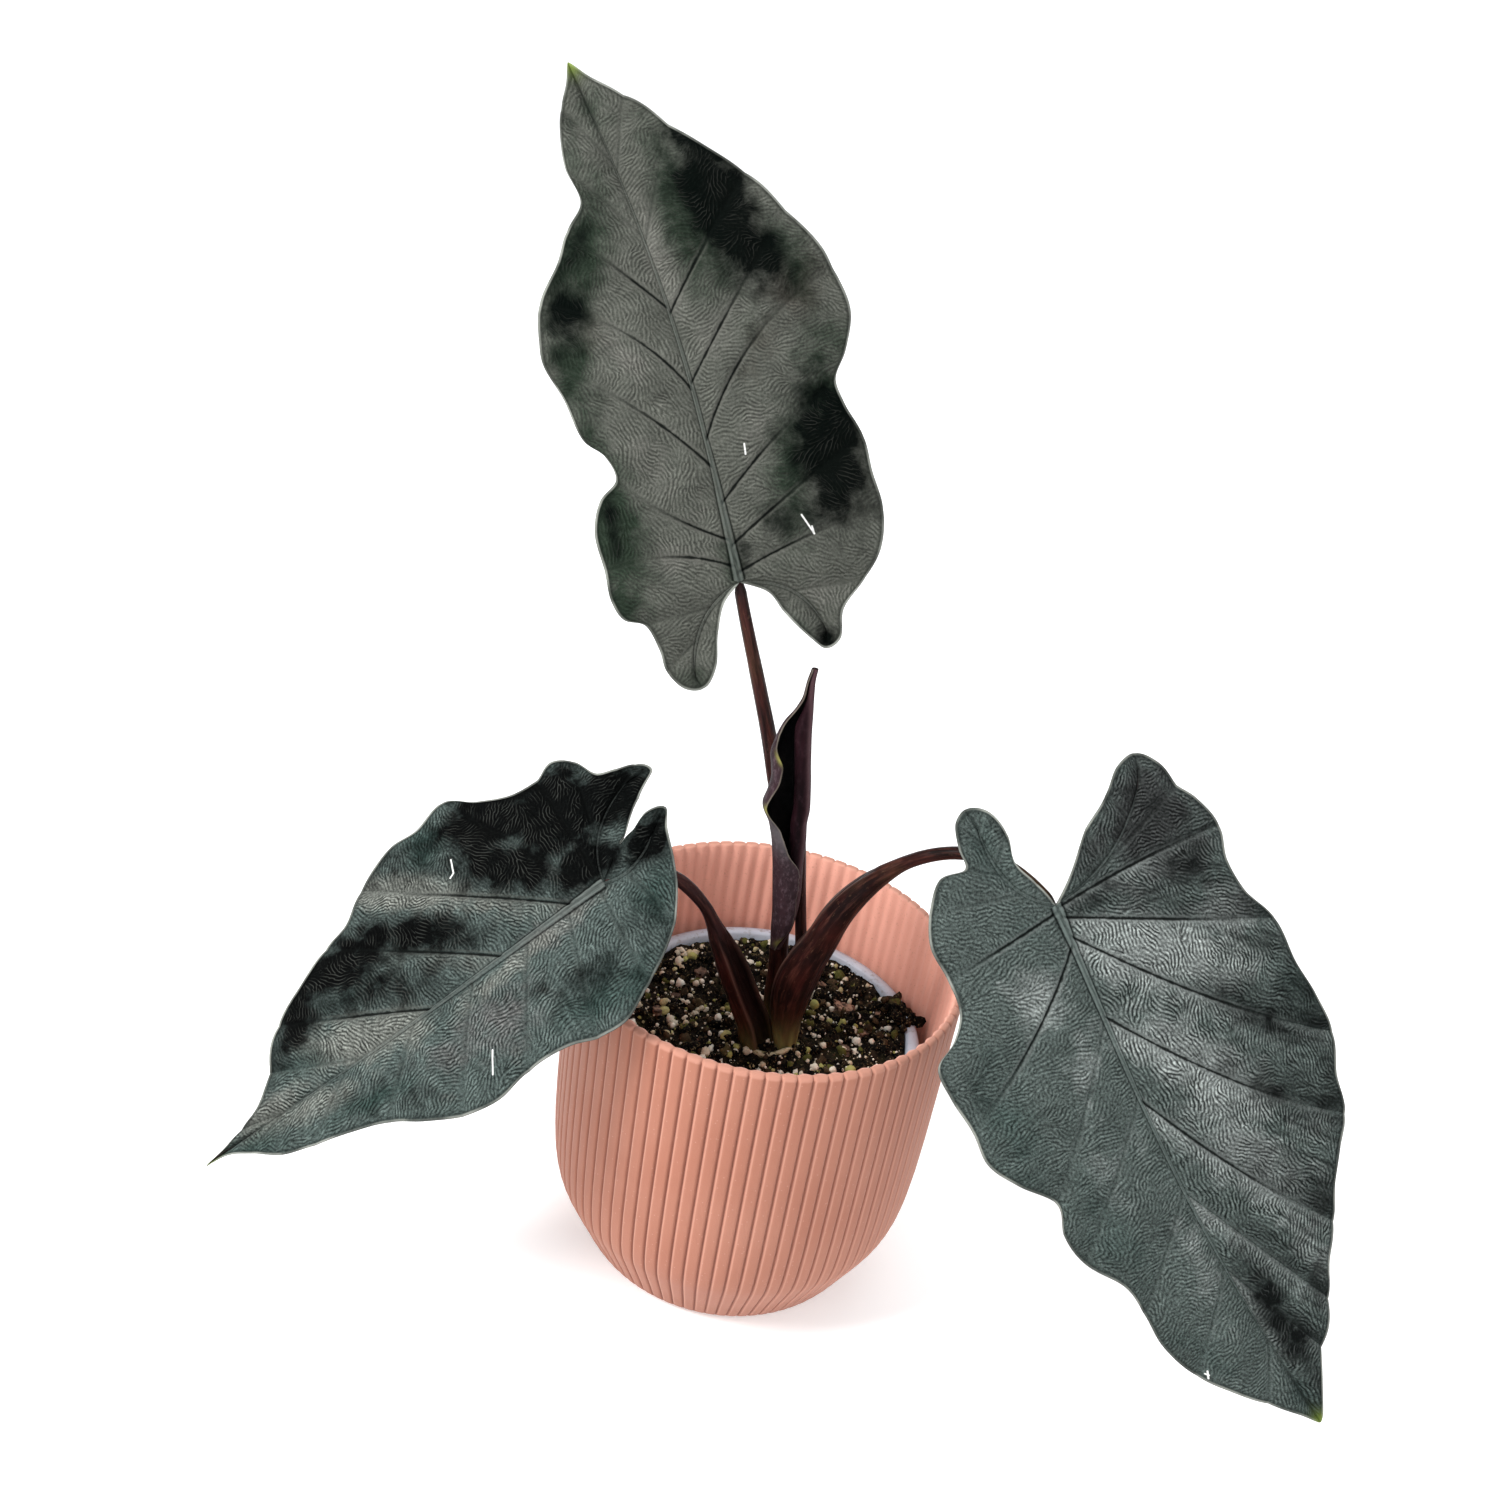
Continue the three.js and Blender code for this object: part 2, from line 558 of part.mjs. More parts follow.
// Columns from the tip round to the notch: an edge point, its foot and the pleat's height
function bladeColumns(leaf, side) {
  const notchFoot = leaf.sinus[0] === 0 ? -2 : -3;
  const points = [[leaf.length, 0, leaf.length], ...side.edge, [...leaf.sinus, notchFoot]];
  const curve = new THREE.CatmullRomCurve3(
    points.map(([u, v]) => new THREE.Vector3(u, v, 0)), false, 'centripetal');
  const at = (index) => curve.getPoint(index / (points.length - 1));
  const marked = points.map((point, index) => (point.length > 2 ? index : -1)).filter((index) => index >= 0);
  const columns = [{ edge: at(0), step: footStep(leaf, leaf.length), relief: 0 }];
  for (let m = 0; m + 1 < marked.length; m += 1) {
    const [from, to] = [marked[m], marked[m + 1]];
    let panelLength = 0;
    for (let k = from; k < to; k += 0.5) panelLength += at(k).distanceTo(at(k + 0.5));
    const [footFrom, footTo] = [points[from][2], points[to][2]];
    const footSteps = footStep(leaf, footTo) - footStep(leaf, footFrom);
    const count = 2 * Math.ceil(Math.max(panelLength / EDGE_STEP, footSteps, 2) / 2);
    const swell = leaf.pleat * Math.min(1, panelLength / FULL_PLEAT_LENGTH);
    for (let k = 1; k <= count; k += 1) {
      columns.push({
        edge: at(from + ((to - from) * k) / count),
        step: Math.round(footStep(leaf, footFrom) + (footSteps * k) / count),
        relief: swell * Math.sin((Math.PI * k) / count),
      });
    }
  }
  return columns;
}

// A blade is one sheet: an upper face, a like lower face with a keel under the ribs,
// and an edge band
function bladeGeometry(leaf) {
  const surface = bladeSurface(leaf);
  const midribSteps = Math.round(leaf.length / FOOT_STEP);
  const positions = [];
  const triangles = [];
  const addPoint = (u, v, height, keel) => {
    positions.push(surface(u, v, height));
    positions.push(surface(u, v, height - BLADE_THICKNESS - keel));
    return positions.length - 2;
  };
  for (const [side, flip] of [[leaf.right, true], [leaf.left, false]]) {
    let previous = null;
    for (const { edge, step, relief } of bladeColumns(leaf, side)) {
      const foot = footPoint(leaf, side, step);
      const costaStep = step - midribSteps;
      const ribShare = costaStep <= 0 ? step / midribSteps : Math.abs(1 - costaStep / COSTA_STEPS);
      const keelDepth = KEEL_DEPTH * Math.min(1, ribShare);
      const column = BLADE_ROWS.map((s, row) => {
        const u = THREE.MathUtils.lerp(foot.x, edge.x, s);
        const v = THREE.MathUtils.lerp(foot.y, edge.y, s);
        const reach = Math.hypot(u - foot.x, v - foot.y);
        const valley = VALLEY_DEPTH * (1 - Math.exp(-reach / VALLEY_WIDTH));
        return addPoint(u, v, valley + relief * s * (1.5 - 0.5 * s), row === 0 ? keelDepth : 0);
      });
      if (previous) {
        for (let row = 0; row + 1 < column.length; row += 1) {
          const [a, b, c, d] = [previous[row], previous[row + 1], column[row + 1], column[row]];
          for (const [p, q, r] of [[a, b, c], [a, c, d]]) {
            triangles.push(...(flip ? [p, r, q] : [p, q, r]));
            triangles.push(...(flip ? [p + 1, q + 1, r + 1] : [p + 1, r + 1, q + 1]));
          }
        }
        const [e, f] = [previous.at(-1), column.at(-1)];
        const band = [[e, e + 1, f + 1], [e, f + 1, f]];
        for (const [p, q, r] of band) triangles.push(...(flip ? [p, r, q] : [p, q, r]));
      }
      previous = column;
    }
  }
  return makeGeometry(positions, triangles);
}

// New leaf: a sheet rolled up round its own length
function rollGeometry() {
  const positions = [];
  const triangles = [];
  const thickness = ROLL_THICKNESS / 2;
  const rows = NEW_LEAF_ROLL.map(([x, y, z, radius, turn]) => {
    const row = [];
    for (let column = 0; column <= ROLL_COLUMNS; column += 1) {
      const share = column / ROLL_COLUMNS;
      const angle = THREE.MathUtils.degToRad(ROLL_START_DEGREES + turn * share);
      const wind = radius * (1 - ROLL_TIGHTNESS * (1 - share) * (turn / 360));
      const place = (offset) => new THREE.Vector3(
        x + (wind + offset) * Math.cos(angle),
        y + (wind + offset) * Math.sin(angle),
        z,
      );
      row.push([positions.push(place(thickness)) - 1, positions.push(place(-thickness)) - 1]);
    }
    return row;
  });
  for (let r = 0; r + 1 < rows.length; r += 1) {
    for (let c = 0; c < ROLL_COLUMNS; c += 1) {
      const [a, b, d, e] = [rows[r][c], rows[r][c + 1], rows[r + 1][c + 1], rows[r + 1][c]];
      triangles.push(a[0], b[0], d[0], a[0], d[0], e[0]);
      triangles.push(a[1], d[1], b[1], a[1], e[1], d[1]);
    }
    const [near, nearAbove] = [rows[r][0], rows[r + 1][0]];
    const [far, farAbove] = [rows[r].at(-1), rows[r + 1].at(-1)];
    triangles.push(near[0], nearAbove[0], nearAbove[1], near[0], nearAbove[1], near[1]);
    triangles.push(far[0], far[1], farAbove[1], far[0], farAbove[1], farAbove[0]);
  }
  const [bottom, top] = [rows[0], rows.at(-1)];
  for (let c = 0; c < ROLL_COLUMNS; c += 1) {
    const [low, nextLow] = [bottom[c], bottom[c + 1]];
    const [high, nextHigh] = [top[c], top[c + 1]];
    triangles.push(low[0], low[1], nextLow[1], low[0], nextLow[1], nextLow[0]);
    triangles.push(high[0], nextHigh[1], high[1], high[0], nextHigh[0], nextHigh[1]);
  }
  return makeGeometry(positions, triangles);
}

// The stalk's end is cut clear of the blade by copies of the blade moved a little each way
function movedCopies(geometry) {
  const moves = [[1, 0, 0], [-1, 0, 0], [0, 1, 0], [0, -1, 0], [0, 0, 1], [0, 0, -1]];
  return moves.map((move) => toSolid(geometry.clone().translate(...move.map((part) => part * CLEARANCE))));
}

// Assembly

const group = new THREE.Group();

function addPiece(name, geometry, color, roughness) {
  const mesh = new THREE.Mesh(geometry, new THREE.MeshStandardMaterial({ color, roughness, metalness: 0 }));
  mesh.name = name;
  group.add(mesh);
}

const TERRACOTTA_PINK = 0xc98070;
const NURSERY_GREY = 0xc4cbd2;
const SOIL_BROWN = 0x241a14;
const CORM_GREEN = 0x76804a;
const BLADE_GREEN = 0x2c3733;
const STALK_PURPLE = 0x3a2429;
const NEW_LEAF_PURPLE = 0x281a20;

addPiece('cover_pot', coverPot(), TERRACOTTA_PINK, 0.7);
addPiece('nursery_pot', nurseryPot(), NURSERY_GREY, 0.5);

const grown = {};
for (const [name, points] of Object.entries(STALKS)) grown[name] = stalkSolid(points, CLEARANCE);
const grownCorm = cormSolid(CLEARANCE);
addPiece('corm', toGeometry(cormSolid(0)), CORM_GREEN, 0.7);
addPiece('soil', soil([grownCorm, ...Object.values(grown)]), SOIL_BROWN, 0.95);

const blades = {};
for (const [name, leaf] of Object.entries(LEAVES)) {
  blades[name] = bladeGeometry(leaf);
  addPiece(`${name}_leaf_blade`, toGeometry(toSolid(blades[name])), BLADE_GREEN, 0.75);
}
const roll = rollGeometry();
addPiece('new_leaf_blade', toGeometry(toSolid(roll)), NEW_LEAF_PURPLE, 0.6);

const cutBy = {
  left: [grownCorm, ...movedCopies(blades.left)],
  right: [grownCorm, ...movedCopies(blades.right), grown.left],
  upright: [grownCorm, ...movedCopies(blades.upright), grown.left, grown.right],
  new: [grownCorm, ...movedCopies(roll), grown.left, grown.right, grown.upright],
};
for (const [name, points] of Object.entries(STALKS)) {
  const stalk = cutBy[name].reduce((rest, cutter) => rest.subtract(cutter), stalkSolid(points, 0));
  addPiece(`${name}_leaf_stalk`, toGeometry(largestBody(stalk)), STALK_PURPLE, 0.6);
}

export default group;
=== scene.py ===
from math import cos, exp, pi, radians, sin
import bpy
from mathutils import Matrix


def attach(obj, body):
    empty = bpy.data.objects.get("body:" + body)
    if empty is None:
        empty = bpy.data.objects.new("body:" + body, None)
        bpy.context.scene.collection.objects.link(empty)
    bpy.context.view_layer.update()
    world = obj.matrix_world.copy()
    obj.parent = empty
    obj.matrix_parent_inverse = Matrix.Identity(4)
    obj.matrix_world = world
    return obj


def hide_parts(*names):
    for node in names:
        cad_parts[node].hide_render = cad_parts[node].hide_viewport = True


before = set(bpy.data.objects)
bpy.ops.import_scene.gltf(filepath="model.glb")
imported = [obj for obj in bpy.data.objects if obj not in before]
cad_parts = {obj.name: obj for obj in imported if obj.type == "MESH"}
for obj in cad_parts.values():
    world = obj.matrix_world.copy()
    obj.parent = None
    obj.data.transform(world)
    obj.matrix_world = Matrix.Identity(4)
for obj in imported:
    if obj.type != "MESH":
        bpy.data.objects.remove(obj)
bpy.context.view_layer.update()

from types import SimpleNamespace

import bpy
import numpy as np
from mathutils import Matrix, Vector, noise

# The view: a look down over the front rim of the cover pot, near enough that the leaves
# on both sides reach out past the pot. The lens is a little longer than a phone's.
view = bpy.data.objects.new("view", bpy.data.cameras.new("view"))
view.data.lens = 37.68
view.data.sensor_width = 36
view.location = (0, -0.4568, 0.4485)
turns = [("X", 54.95), ("Z", 10.41), ("X", 7.14), ("Y", 0.70)]
aim = Matrix.Identity(3)
for axis, degrees in turns:
    aim = aim @ Matrix.Rotation(radians(degrees), 3, axis)
view.rotation_euler = aim.to_euler()
bpy.context.scene.collection.objects.link(view)
bpy.context.scene.camera = view

# The table and the light: a wide white sheet under the pot, which bends up into a wall far
# off, a broad window of light from the upper left, weaker ones from the right and from
# behind, and an even pale surrounding.
flat_reach, bend_radius = 2.6, 1.2
sweep_rings = [(0.02, 0), (1, 0), (2, 0), (flat_reach, 0)]
sweep_rings += [(flat_reach + bend_radius * sin(turn), bend_radius - bend_radius * cos(turn))
                for turn in np.linspace(0.1, pi / 2, 12)]
sweep_rings += [(3.8, 2.6)]
table_sides = 72


def skin_faces(rows, columns, closed, first=0):
    """Four-sided faces between neighbouring rows of a skin of points."""
    spans = columns if closed else columns - 1
    row, column = np.meshgrid(np.arange(rows - 1), np.arange(spans), indexing="ij")
    beside = (column + 1) % columns
    corners = [row * columns + column, row * columns + beside]
    corners += [(row + 1) * columns + beside, (row + 1) * columns + column]
    return (np.stack(corners, axis=-1).reshape(-1, 4) + first).tolist()


def round_angles(count):
    """Even angles once round, in radians."""
    return np.arange(count) * 2 * pi / count


around = round_angles(table_sides)
sweep = bpy.data.meshes.new("table")
sweep.from_pydata([(r * cos(a), r * sin(a), z) for r, z in sweep_rings for a in around], [],
                  skin_faces(len(sweep_rings), table_sides, True) + [list(range(table_sides))[::-1]])
sweep.shade_smooth()
table = bpy.data.objects.new("table", sweep)
bpy.context.scene.collection.objects.link(table)
white_sheet = bpy.data.materials.new("white_sheet")
white_sheet.use_nodes = True
paper = white_sheet.node_tree.nodes["Principled BSDF"].inputs
paper["Base Color"].default_value = (0.86, 0.86, 0.86, 1)
paper["Roughness"].default_value = 0.9
paper["Emission Color"].default_value = (1, 1, 1, 1)
paper["Emission Strength"].default_value = 0.34
table.data.materials.append(white_sheet)

windows = {
    "left_window": ((-1.0, -0.5, 1.1), 0.5, 24),
    "right_window": ((1.1, -0.3, 1.0), 0.9, 5),
    "back_window": ((0.2, 1.2, 1.3), 1.2, 6),
}
for name, (place, width, power) in windows.items():
    window = bpy.data.objects.new(name, bpy.data.lights.new(name, "AREA"))
    window.data.size = width
    window.data.energy = power
    window.location = place
    window.rotation_euler = (Vector((0, 0, 0.15)) - Vector(place)).to_track_quat("-Z", "Y").to_euler()
    bpy.context.scene.collection.objects.link(window)
surrounding = bpy.data.worlds.new("pale_surrounding")
surrounding.use_nodes = True
surrounding.node_tree.nodes["Background"].inputs["Color"].default_value = (0.95, 0.97, 1, 1)
surrounding.node_tree.nodes["Background"].inputs["Strength"].default_value = 0.7
bpy.context.scene.world = surrounding
bpy.context.scene.view_settings.view_transform = "Standard"

# Cover pot: one moulded pot with a matt, slightly sandy pink coat. Its outside is reeded by
# 84 narrow grooves, which notch the rim, and its inner wall ripples softly at the same pitch.
MM = 0.001
reed_count = 84
first_groove = 0.0147
groove_depth = 0.9
groove_half_share = 0.14
reed_bulge = 0.26
inner_ripple = 0.3
lip_reeding = [0.92, 0.8, 0.6, 0.35, 0.18]
lip_bottom = 127
pot_floor = 4
pot_bottom = [(0.5, 0), (25, 0), (45, 0)]
pot_outside = [(50.6, 0), (53.4, 3), (58.6, 13), (62.6, 21), (66, 29), (68.2, 44), (70, 126.3)]
pot_lip = [
    (70, 126.3), (69.9, 127.1), (69.5, 127.7), (68.9, 128), (67.8, 128), (67.1, 127.7), (66.8, 127),
]
pot_inside = [(66.8, 127), (66.4, 100), (64.8, 44), (62.4, 29), (55.2, 13), (49, pot_floor)]


def smooth_line(points, places):
    """Points on a smooth line through the given ones; places run from 0 to 1."""
    known = np.asarray(points, dtype=float)
    last = len(known) - 1
    slots = np.clip(np.asarray(places, dtype=float), 0, 1) * last
    starts = np.minimum(slots.astype(int), last - 1)
    ends = starts + 1
    start, end = known[starts], known[ends]
    before = np.where((starts > 0)[:, None], known[starts - 1], 2 * start - end)
    after = np.where((ends < last)[:, None], known[np.minimum(ends + 1, last)], 2 * end - start)

    def knot(a, b):
        return np.sqrt(np.linalg.norm(a - b, axis=1))[:, None]

    middle = knot(start, end)
    middle = np.where(middle < 1e-4, 1, middle)
    lead, trail = knot(before, start), knot(end, after)
    lead = np.where(lead < 1e-4, middle, lead)
    trail = np.where(trail < 1e-4, middle, trail)
    leaving = (start - before) / lead - (end - before) / (lead + middle) + (end - start) / middle
    arriving = (end - start) / middle - (after - start) / (middle + trail) + (after - end) / trail
    leaving, arriving = leaving * middle, arriving * middle
    t = (slots - starts)[:, None]
    square = -3 * start + 3 * end - 2 * leaving - arriving
    cube = 2 * start - 2 * end + leaving + arriving
    return start + leaving * t + square * t ** 2 + cube * t ** 3


def ring_points(radius, angles, z, centre=(0, 0)):
    """A level ring of points round a centre."""
    x, y = radius * np.cos(angles) + centre[0], radius * np.sin(angles) + centre[1]
    return np.stack([x, y, np.broadcast_to(z, x.shape)], axis=-1)


def tube_faces(rings, sides, first=0):
    """The faces of a tube of points with a lid on both ends."""
    low_lid = list(range(first, first + sides))[::-1]
    high_lid = list(range(first + (rings - 1) * sides, first + rings * sides))
    return [*skin_faces(rings, sides, True, first), low_lid, high_lid]


def make_piece(name, points, faces, finish, slot, stands_for=(), **readings):
    """A smooth piece from points in millimetres, with readings kept at its points."""
    mesh = bpy.data.meshes.new(name)
    mesh.from_pydata((np.asarray(points) * MM).tolist(), [], faces)
    mesh.shade_smooth()
    for reading, values in readings.items():
        values = np.asarray(values, dtype=np.float32)
        vector = values.ndim == 2
        layer = mesh.attributes.new(reading, "FLOAT_VECTOR" if vector else "FLOAT", "POINT")
        layer.data.foreach_set("vector" if vector else "value", values.ravel())
    mesh.materials.append(finish.material)
    piece = bpy.data.objects.new(name, mesh)
    bpy.context.scene.collection.objects.link(piece)
    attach(piece, "root")
    if stands_for:
        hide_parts(*stands_for)
    return piece


class Finish:
    """A procedural finish: colour and fine relief are mixed into it step by step."""

    def __init__(self, name, roughness, **constants):
        self.material = bpy.data.materials.new(name)
        self.material.use_nodes = True
        self.nodes = self.material.node_tree.nodes
        self.links = self.material.node_tree.links
        self.shader = self.nodes["Principled BSDF"]
        self.shader.inputs["Roughness"].default_value = roughness
        for socket, value in constants.items():
            self.shader.inputs[socket.replace("_", " ").title().replace("Ior", "IOR")].default_value = value

    def feed(self, socket, value):
        if isinstance(value, bpy.types.NodeSocket):
            self.links.new(value, socket)
        elif isinstance(value, tuple) and len(value) == 3 and socket.type == "RGBA":
            socket.default_value = (*value, 1)
        else:
            socket.default_value = value

    def reading(self, name, vector=False):
        node = self.nodes.new("ShaderNodeAttribute")
        node.attribute_name = name
        return node.outputs["Vector" if vector else "Fac"]

    def place(self, stretch=(1, 1, 1), reading=None):
        node = self.nodes.new("ShaderNodeMapping")
        node.inputs["Scale"].default_value = stretch
        if reading:
            source = self.reading(reading, True)
        else:
            source = self.nodes.new("ShaderNodeTexCoord").outputs["Object"]
        self.links.new(source, node.inputs["Vector"])
        return node.outputs["Vector"]

    def cloud(self, size_mm, place, detail=2, rough=0.5):
        node = self.nodes.new("ShaderNodeTexNoise")
        self.links.new(place, node.inputs["Vector"])
        node.inputs["Scale"].default_value = 1 / (size_mm * MM)
        node.inputs["Detail"].default_value = detail
        node.inputs["Roughness"].default_value = rough
        return node.outputs["Fac"]

    def cells(self, size_mm, place, feature="F1"):
        node = self.nodes.new("ShaderNodeTexVoronoi")
        node.feature = feature
        self.links.new(place, node.inputs["Vector"])
        node.inputs["Scale"].default_value = 1 / (size_mm * MM)
        return node.outputs["Distance"]

    def ridges(self, pitch_mm, spot_mm, place, evenness, turn):
        """Fine ridges of even pitch which follow the given turn, from -1 to 1."""
        node = self.nodes.new("ShaderNodeTexGabor")
        self.links.new(place, node.inputs["Vector"])
        node.inputs["Scale"].default_value = 1 / (spot_mm * MM)
        node.inputs["Frequency"].default_value = spot_mm / pitch_mm
        node.inputs["Anisotropy"].default_value = evenness
        self.links.new(turn, node.inputs[4])
        return self.count("SINE", self.times(node.outputs["Phase"], 2 * pi))

    def spread(self, value, low, high, start=0, end=1):
        node = self.nodes.new("ShaderNodeMapRange")
        for socket, number in zip(node.inputs, (value, low, high, start, end)):
            self.feed(socket, number)
        return node.outputs["Result"]

    def count(self, operation, *numbers):
        node = self.nodes.new("ShaderNodeMath")
        node.operation = operation
        for socket, number in zip(node.inputs, numbers):
            self.feed(socket, number)
        return node.outputs[0]

    def times(self, first, *others):
        for other in others:
            first = self.count("MULTIPLY", first, other)
        return first

    def tint(self, share, first, second):
        node = self.nodes.new("ShaderNodeMix")
        node.data_type = "RGBA"
        self.feed(node.inputs[0], share)
        self.feed(node.inputs[6], first)
        self.feed(node.inputs[7], second)
        return node.outputs[2]

    def clouded(self, first, second, cloud, *limits):
        """The first colour with clouds of the second in it."""
        return self.tint(self.spread(self.cloud(*cloud), *limits), first, second)

    def glow(self, colour, brightness):
        """The colour made brighter or darker, without a change of hue."""
        node = self.nodes.new("ShaderNodeMix")
        node.data_type, node.blend_type = "RGBA", "MULTIPLY"
        node.inputs[0].default_value = 1
        self.feed(node.inputs[6], colour)
        self.feed(node.inputs[7], brightness)
        return node.outputs[2]

    def from_segment(self, place, start, end):
        """Distance in metres from the straight line between two points given in mm."""
        span = np.subtract(end, start) * MM
        offset = self.vector("SUBTRACT", place, (*(np.array(start) * MM), 0))
        share = self.times(self.vector("DOT_PRODUCT", offset, (*span, 0)), 1 / span.dot(span))
        nearest = self.vector("SCALE", (*span, 0), self.spread(share, 0, 1))
        return self.vector("LENGTH", self.vector("SUBTRACT", offset, nearest))

    def vector(self, operation, first, second=None):
        node = self.nodes.new("ShaderNodeVectorMath")
        node.operation = operation
        self.feed(node.inputs[0], first)
        if second is not None:
            self.feed(node.inputs[3 if operation == "SCALE" else 1], second)
        return node.outputs["Value" if operation in ("DOT_PRODUCT", "LENGTH") else "Vector"]

    def emboss(self, height, depth_mm):
        node = self.nodes.new("ShaderNodeBump")
        node.inputs["Distance"].default_value = depth_mm * MM
        self.feed(node.inputs["Height"], height)
        if self.shader.inputs["Normal"].is_linked:
            self.links.new(self.shader.inputs["Normal"].links[0].from_socket, node.inputs["Normal"])
        self.links.new(node.outputs["Normal"], self.shader.inputs["Normal"])

    def colour(self, value):
        self.feed(self.shader.inputs["Base Color"], value)


def sandy_pink():
    coat = Finish("sandy_pink_coat", 0.68, specular_ior_level=0.32, sheen_weight=0.06)
    anywhere = coat.place()
    pink, pale_pink, groove_shade_pink = (0.332, 0.124, 0.076), (0.368, 0.152, 0.099), (0.185, 0.060, 0.041)
    body = coat.clouded(pink, pale_pink, (38, anywhere, 3), 0.3, 0.7)
    # Painted light: the inner wall is painted paler and brighter, standing in for the light that falls into
    # the pot.
    body = coat.tint(coat.reading("inside"), body, (0.86, 0.42, 0.32))
    body = coat.clouded(body, (0.34, 0.115, 0.08), (0.9, anywhere, 1), 0.62, 0.8, 0, 0.3)
    pale_grains = coat.spread(coat.cells(2.3, anywhere), 0.16, 0.05, 0, 0.3)
    body = coat.tint(pale_grains, body, (0.58, 0.33, 0.26))
    # A painted highlight, paler pink, in a narrow band just past each groove and along the whole lip.
    body = coat.tint(coat.times(coat.reading("rubbed"), 0.7), body, (0.53, 0.26, 0.19))
    # Painted shade: the grooves are tinted darker where shade falls in them.
    coat.colour(coat.tint(coat.times(coat.reading("groove"), 0.5), body, groove_shade_pink))
    coat.emboss(coat.cloud(0.7, anywhere, 2), 0.07)
    coat.emboss(coat.cloud(9, anywhere, 1), 0.12)
    return coat


def cover_pot():
    shares = np.array([0, 0.05, 0.1, 0.17, 0.25, 0.37, 0.5, 0.63, 0.75, 0.83, 0.9, 0.95])
    phase = (np.arange(reed_count)[:, None] + shares).ravel()
    angles = first_groove + phase * 2 * pi / reed_count
    from_groove = 0.5 - np.abs(phase % 1 - 0.5)
    groove = np.clip(1 - from_groove / groove_half_share, 0, 1) ** 1.25
    bulge = reed_bulge * (1 - from_groove / 0.5) ** 2.2
    # Where the painted highlight lies: a narrow band just past each groove.
    edge = np.exp(-((phase % 1 - 0.15) / 0.07) ** 2)
    outside = smooth_line(pot_outside, np.linspace(0, 1, 28))
    inside = smooth_line(pot_inside, np.linspace(0, 1, 15))
    floor = [(34, pot_floor), (17, pot_floor), (0.5, pot_floor)]
    profile = [*pot_bottom, *outside, *pot_lip[1:-1], *inside, *floor]
    lip_start = len(pot_bottom) + len(outside)
    wall_start = lip_start + len(pot_lip) - 3
    points, grooves, highlights, lit_inner_wall = [], [], [], []
    for step, (radius, z) in enumerate(profile):
        if step < lip_start:
            reeding = min(1, max(0, z - 0.3) / 4)
        else:
            reeding = dict(enumerate(lip_reeding)).get(step - lip_start, 0)
        ripple = inner_ripple * np.cos(phase * 2 * pi) * min(1, max(0, z - 40) / 40)
        is_wall = step >= wall_start
        ring = radius - reeding * (groove_depth * groove + bulge) + ripple * is_wall
        dip = 0.35 * groove * (z > 127.5)
        points.append(ring_points(ring, angles, z - dip))
        on_lip = z > lip_bottom
        grooves.append(groove * reeding * (0.45 if on_lip else 1))
        highlights.append(np.maximum(edge * reeding, 0.8 * on_lip))
        lit_inner_wall.append(np.full(len(angles), float(is_wall)))
    faces = tube_faces(len(profile), len(angles))
    make_piece("cover_pot_reeded", np.concatenate(points), faces, sandy_pink(), "terracotta", ["cover_pot"],
               groove=np.concatenate(grooves), rubbed=np.concatenate(highlights), inside=np.concatenate(lit_inner_wall))


cover_pot()

# Nursery pot: a thin pale grey pot blown and trimmed in one skin, with its rim folded down
# into a deep band and round drain holes in its floor. It stands off centre in the cover pot.
nursery_centre = (2.4, 3.1)
nursery_base = 4.3
nursery_sides = 180
drain_holes, drain_circle, drain_radius = 6, 30, 4
drill_length = 8
nursery_outline = [
    (0.4, 4.3), (20, 4.3), (41.5, 4.3), (43, 5.4), (48.6, 45), (54.5, 87), (55.2, 91.6), (56.6, 92.6),
    (57, 91.6), (57.1, 87), (57.9, 87), (58, 92.6), (57.3, 93.8), (56, 94), (54.2, 94), (53.4, 93.2),
    (53.2, 87), (47.4, 45), (41.8, 6.2), (40.6, 5.5), (20, 5.5), (0.4, 5.5),
]


def pale_grey_skin():
    skin = Finish("pale_grey_skin", 0.42, specular_ior_level=0.45)
    anywhere = skin.place()
    dark_grey, pale_grey, dust = (0.42, 0.46, 0.53), (0.54, 0.58, 0.66), (0.16, 0.12, 0.09)
    grey = skin.clouded(dark_grey, pale_grey, (14, anywhere, 3), 0.3, 0.7)
    skin.colour(skin.clouded(grey, dust, (2.2, anywhere, 3, 0.65), 0.56, 0.72, 0, 0.55))
    skin.emboss(skin.cloud(5, anywhere), 0.15)
    return skin


def in_nursery_pot(radius, angle):
    """A place at a distance from the nursery pot's own centre line."""
    return nursery_centre[0] + radius * cos(angle), nursery_centre[1] + radius * sin(angle)


def nursery_pot():
    angles = round_angles(nursery_sides)
    rings = [ring_points(radius, angles, z, nursery_centre) for radius, z in nursery_outline]
    faces = tube_faces(len(nursery_outline), nursery_sides)
    pot = make_piece("nursery_pot_skin", np.concatenate(rings), faces, pale_grey_skin(), "nursery_plastic",
                     ["nursery_pot"])
    for hole in range(drain_holes):
        place = (*in_nursery_pot(drain_circle, hole * 2 * pi / drain_holes), nursery_base)
        bpy.ops.mesh.primitive_cylinder_add(vertices=32, radius=drain_radius * MM, depth=drill_length * MM,
                                            location=[part * MM for part in place])
        drill = bpy.context.object
        cut = pot.modifiers.new("drain_hole", "BOOLEAN")
        cut.object = drill
        cut.operation = "DIFFERENCE"
        drilled = bpy.data.meshes.new_from_object(pot.evaluated_get(bpy.context.evaluated_depsgraph_get()))
        pot.modifiers.remove(cut)
        pot.data = drilled
        bpy.data.objects.remove(drill)


nursery_pot()

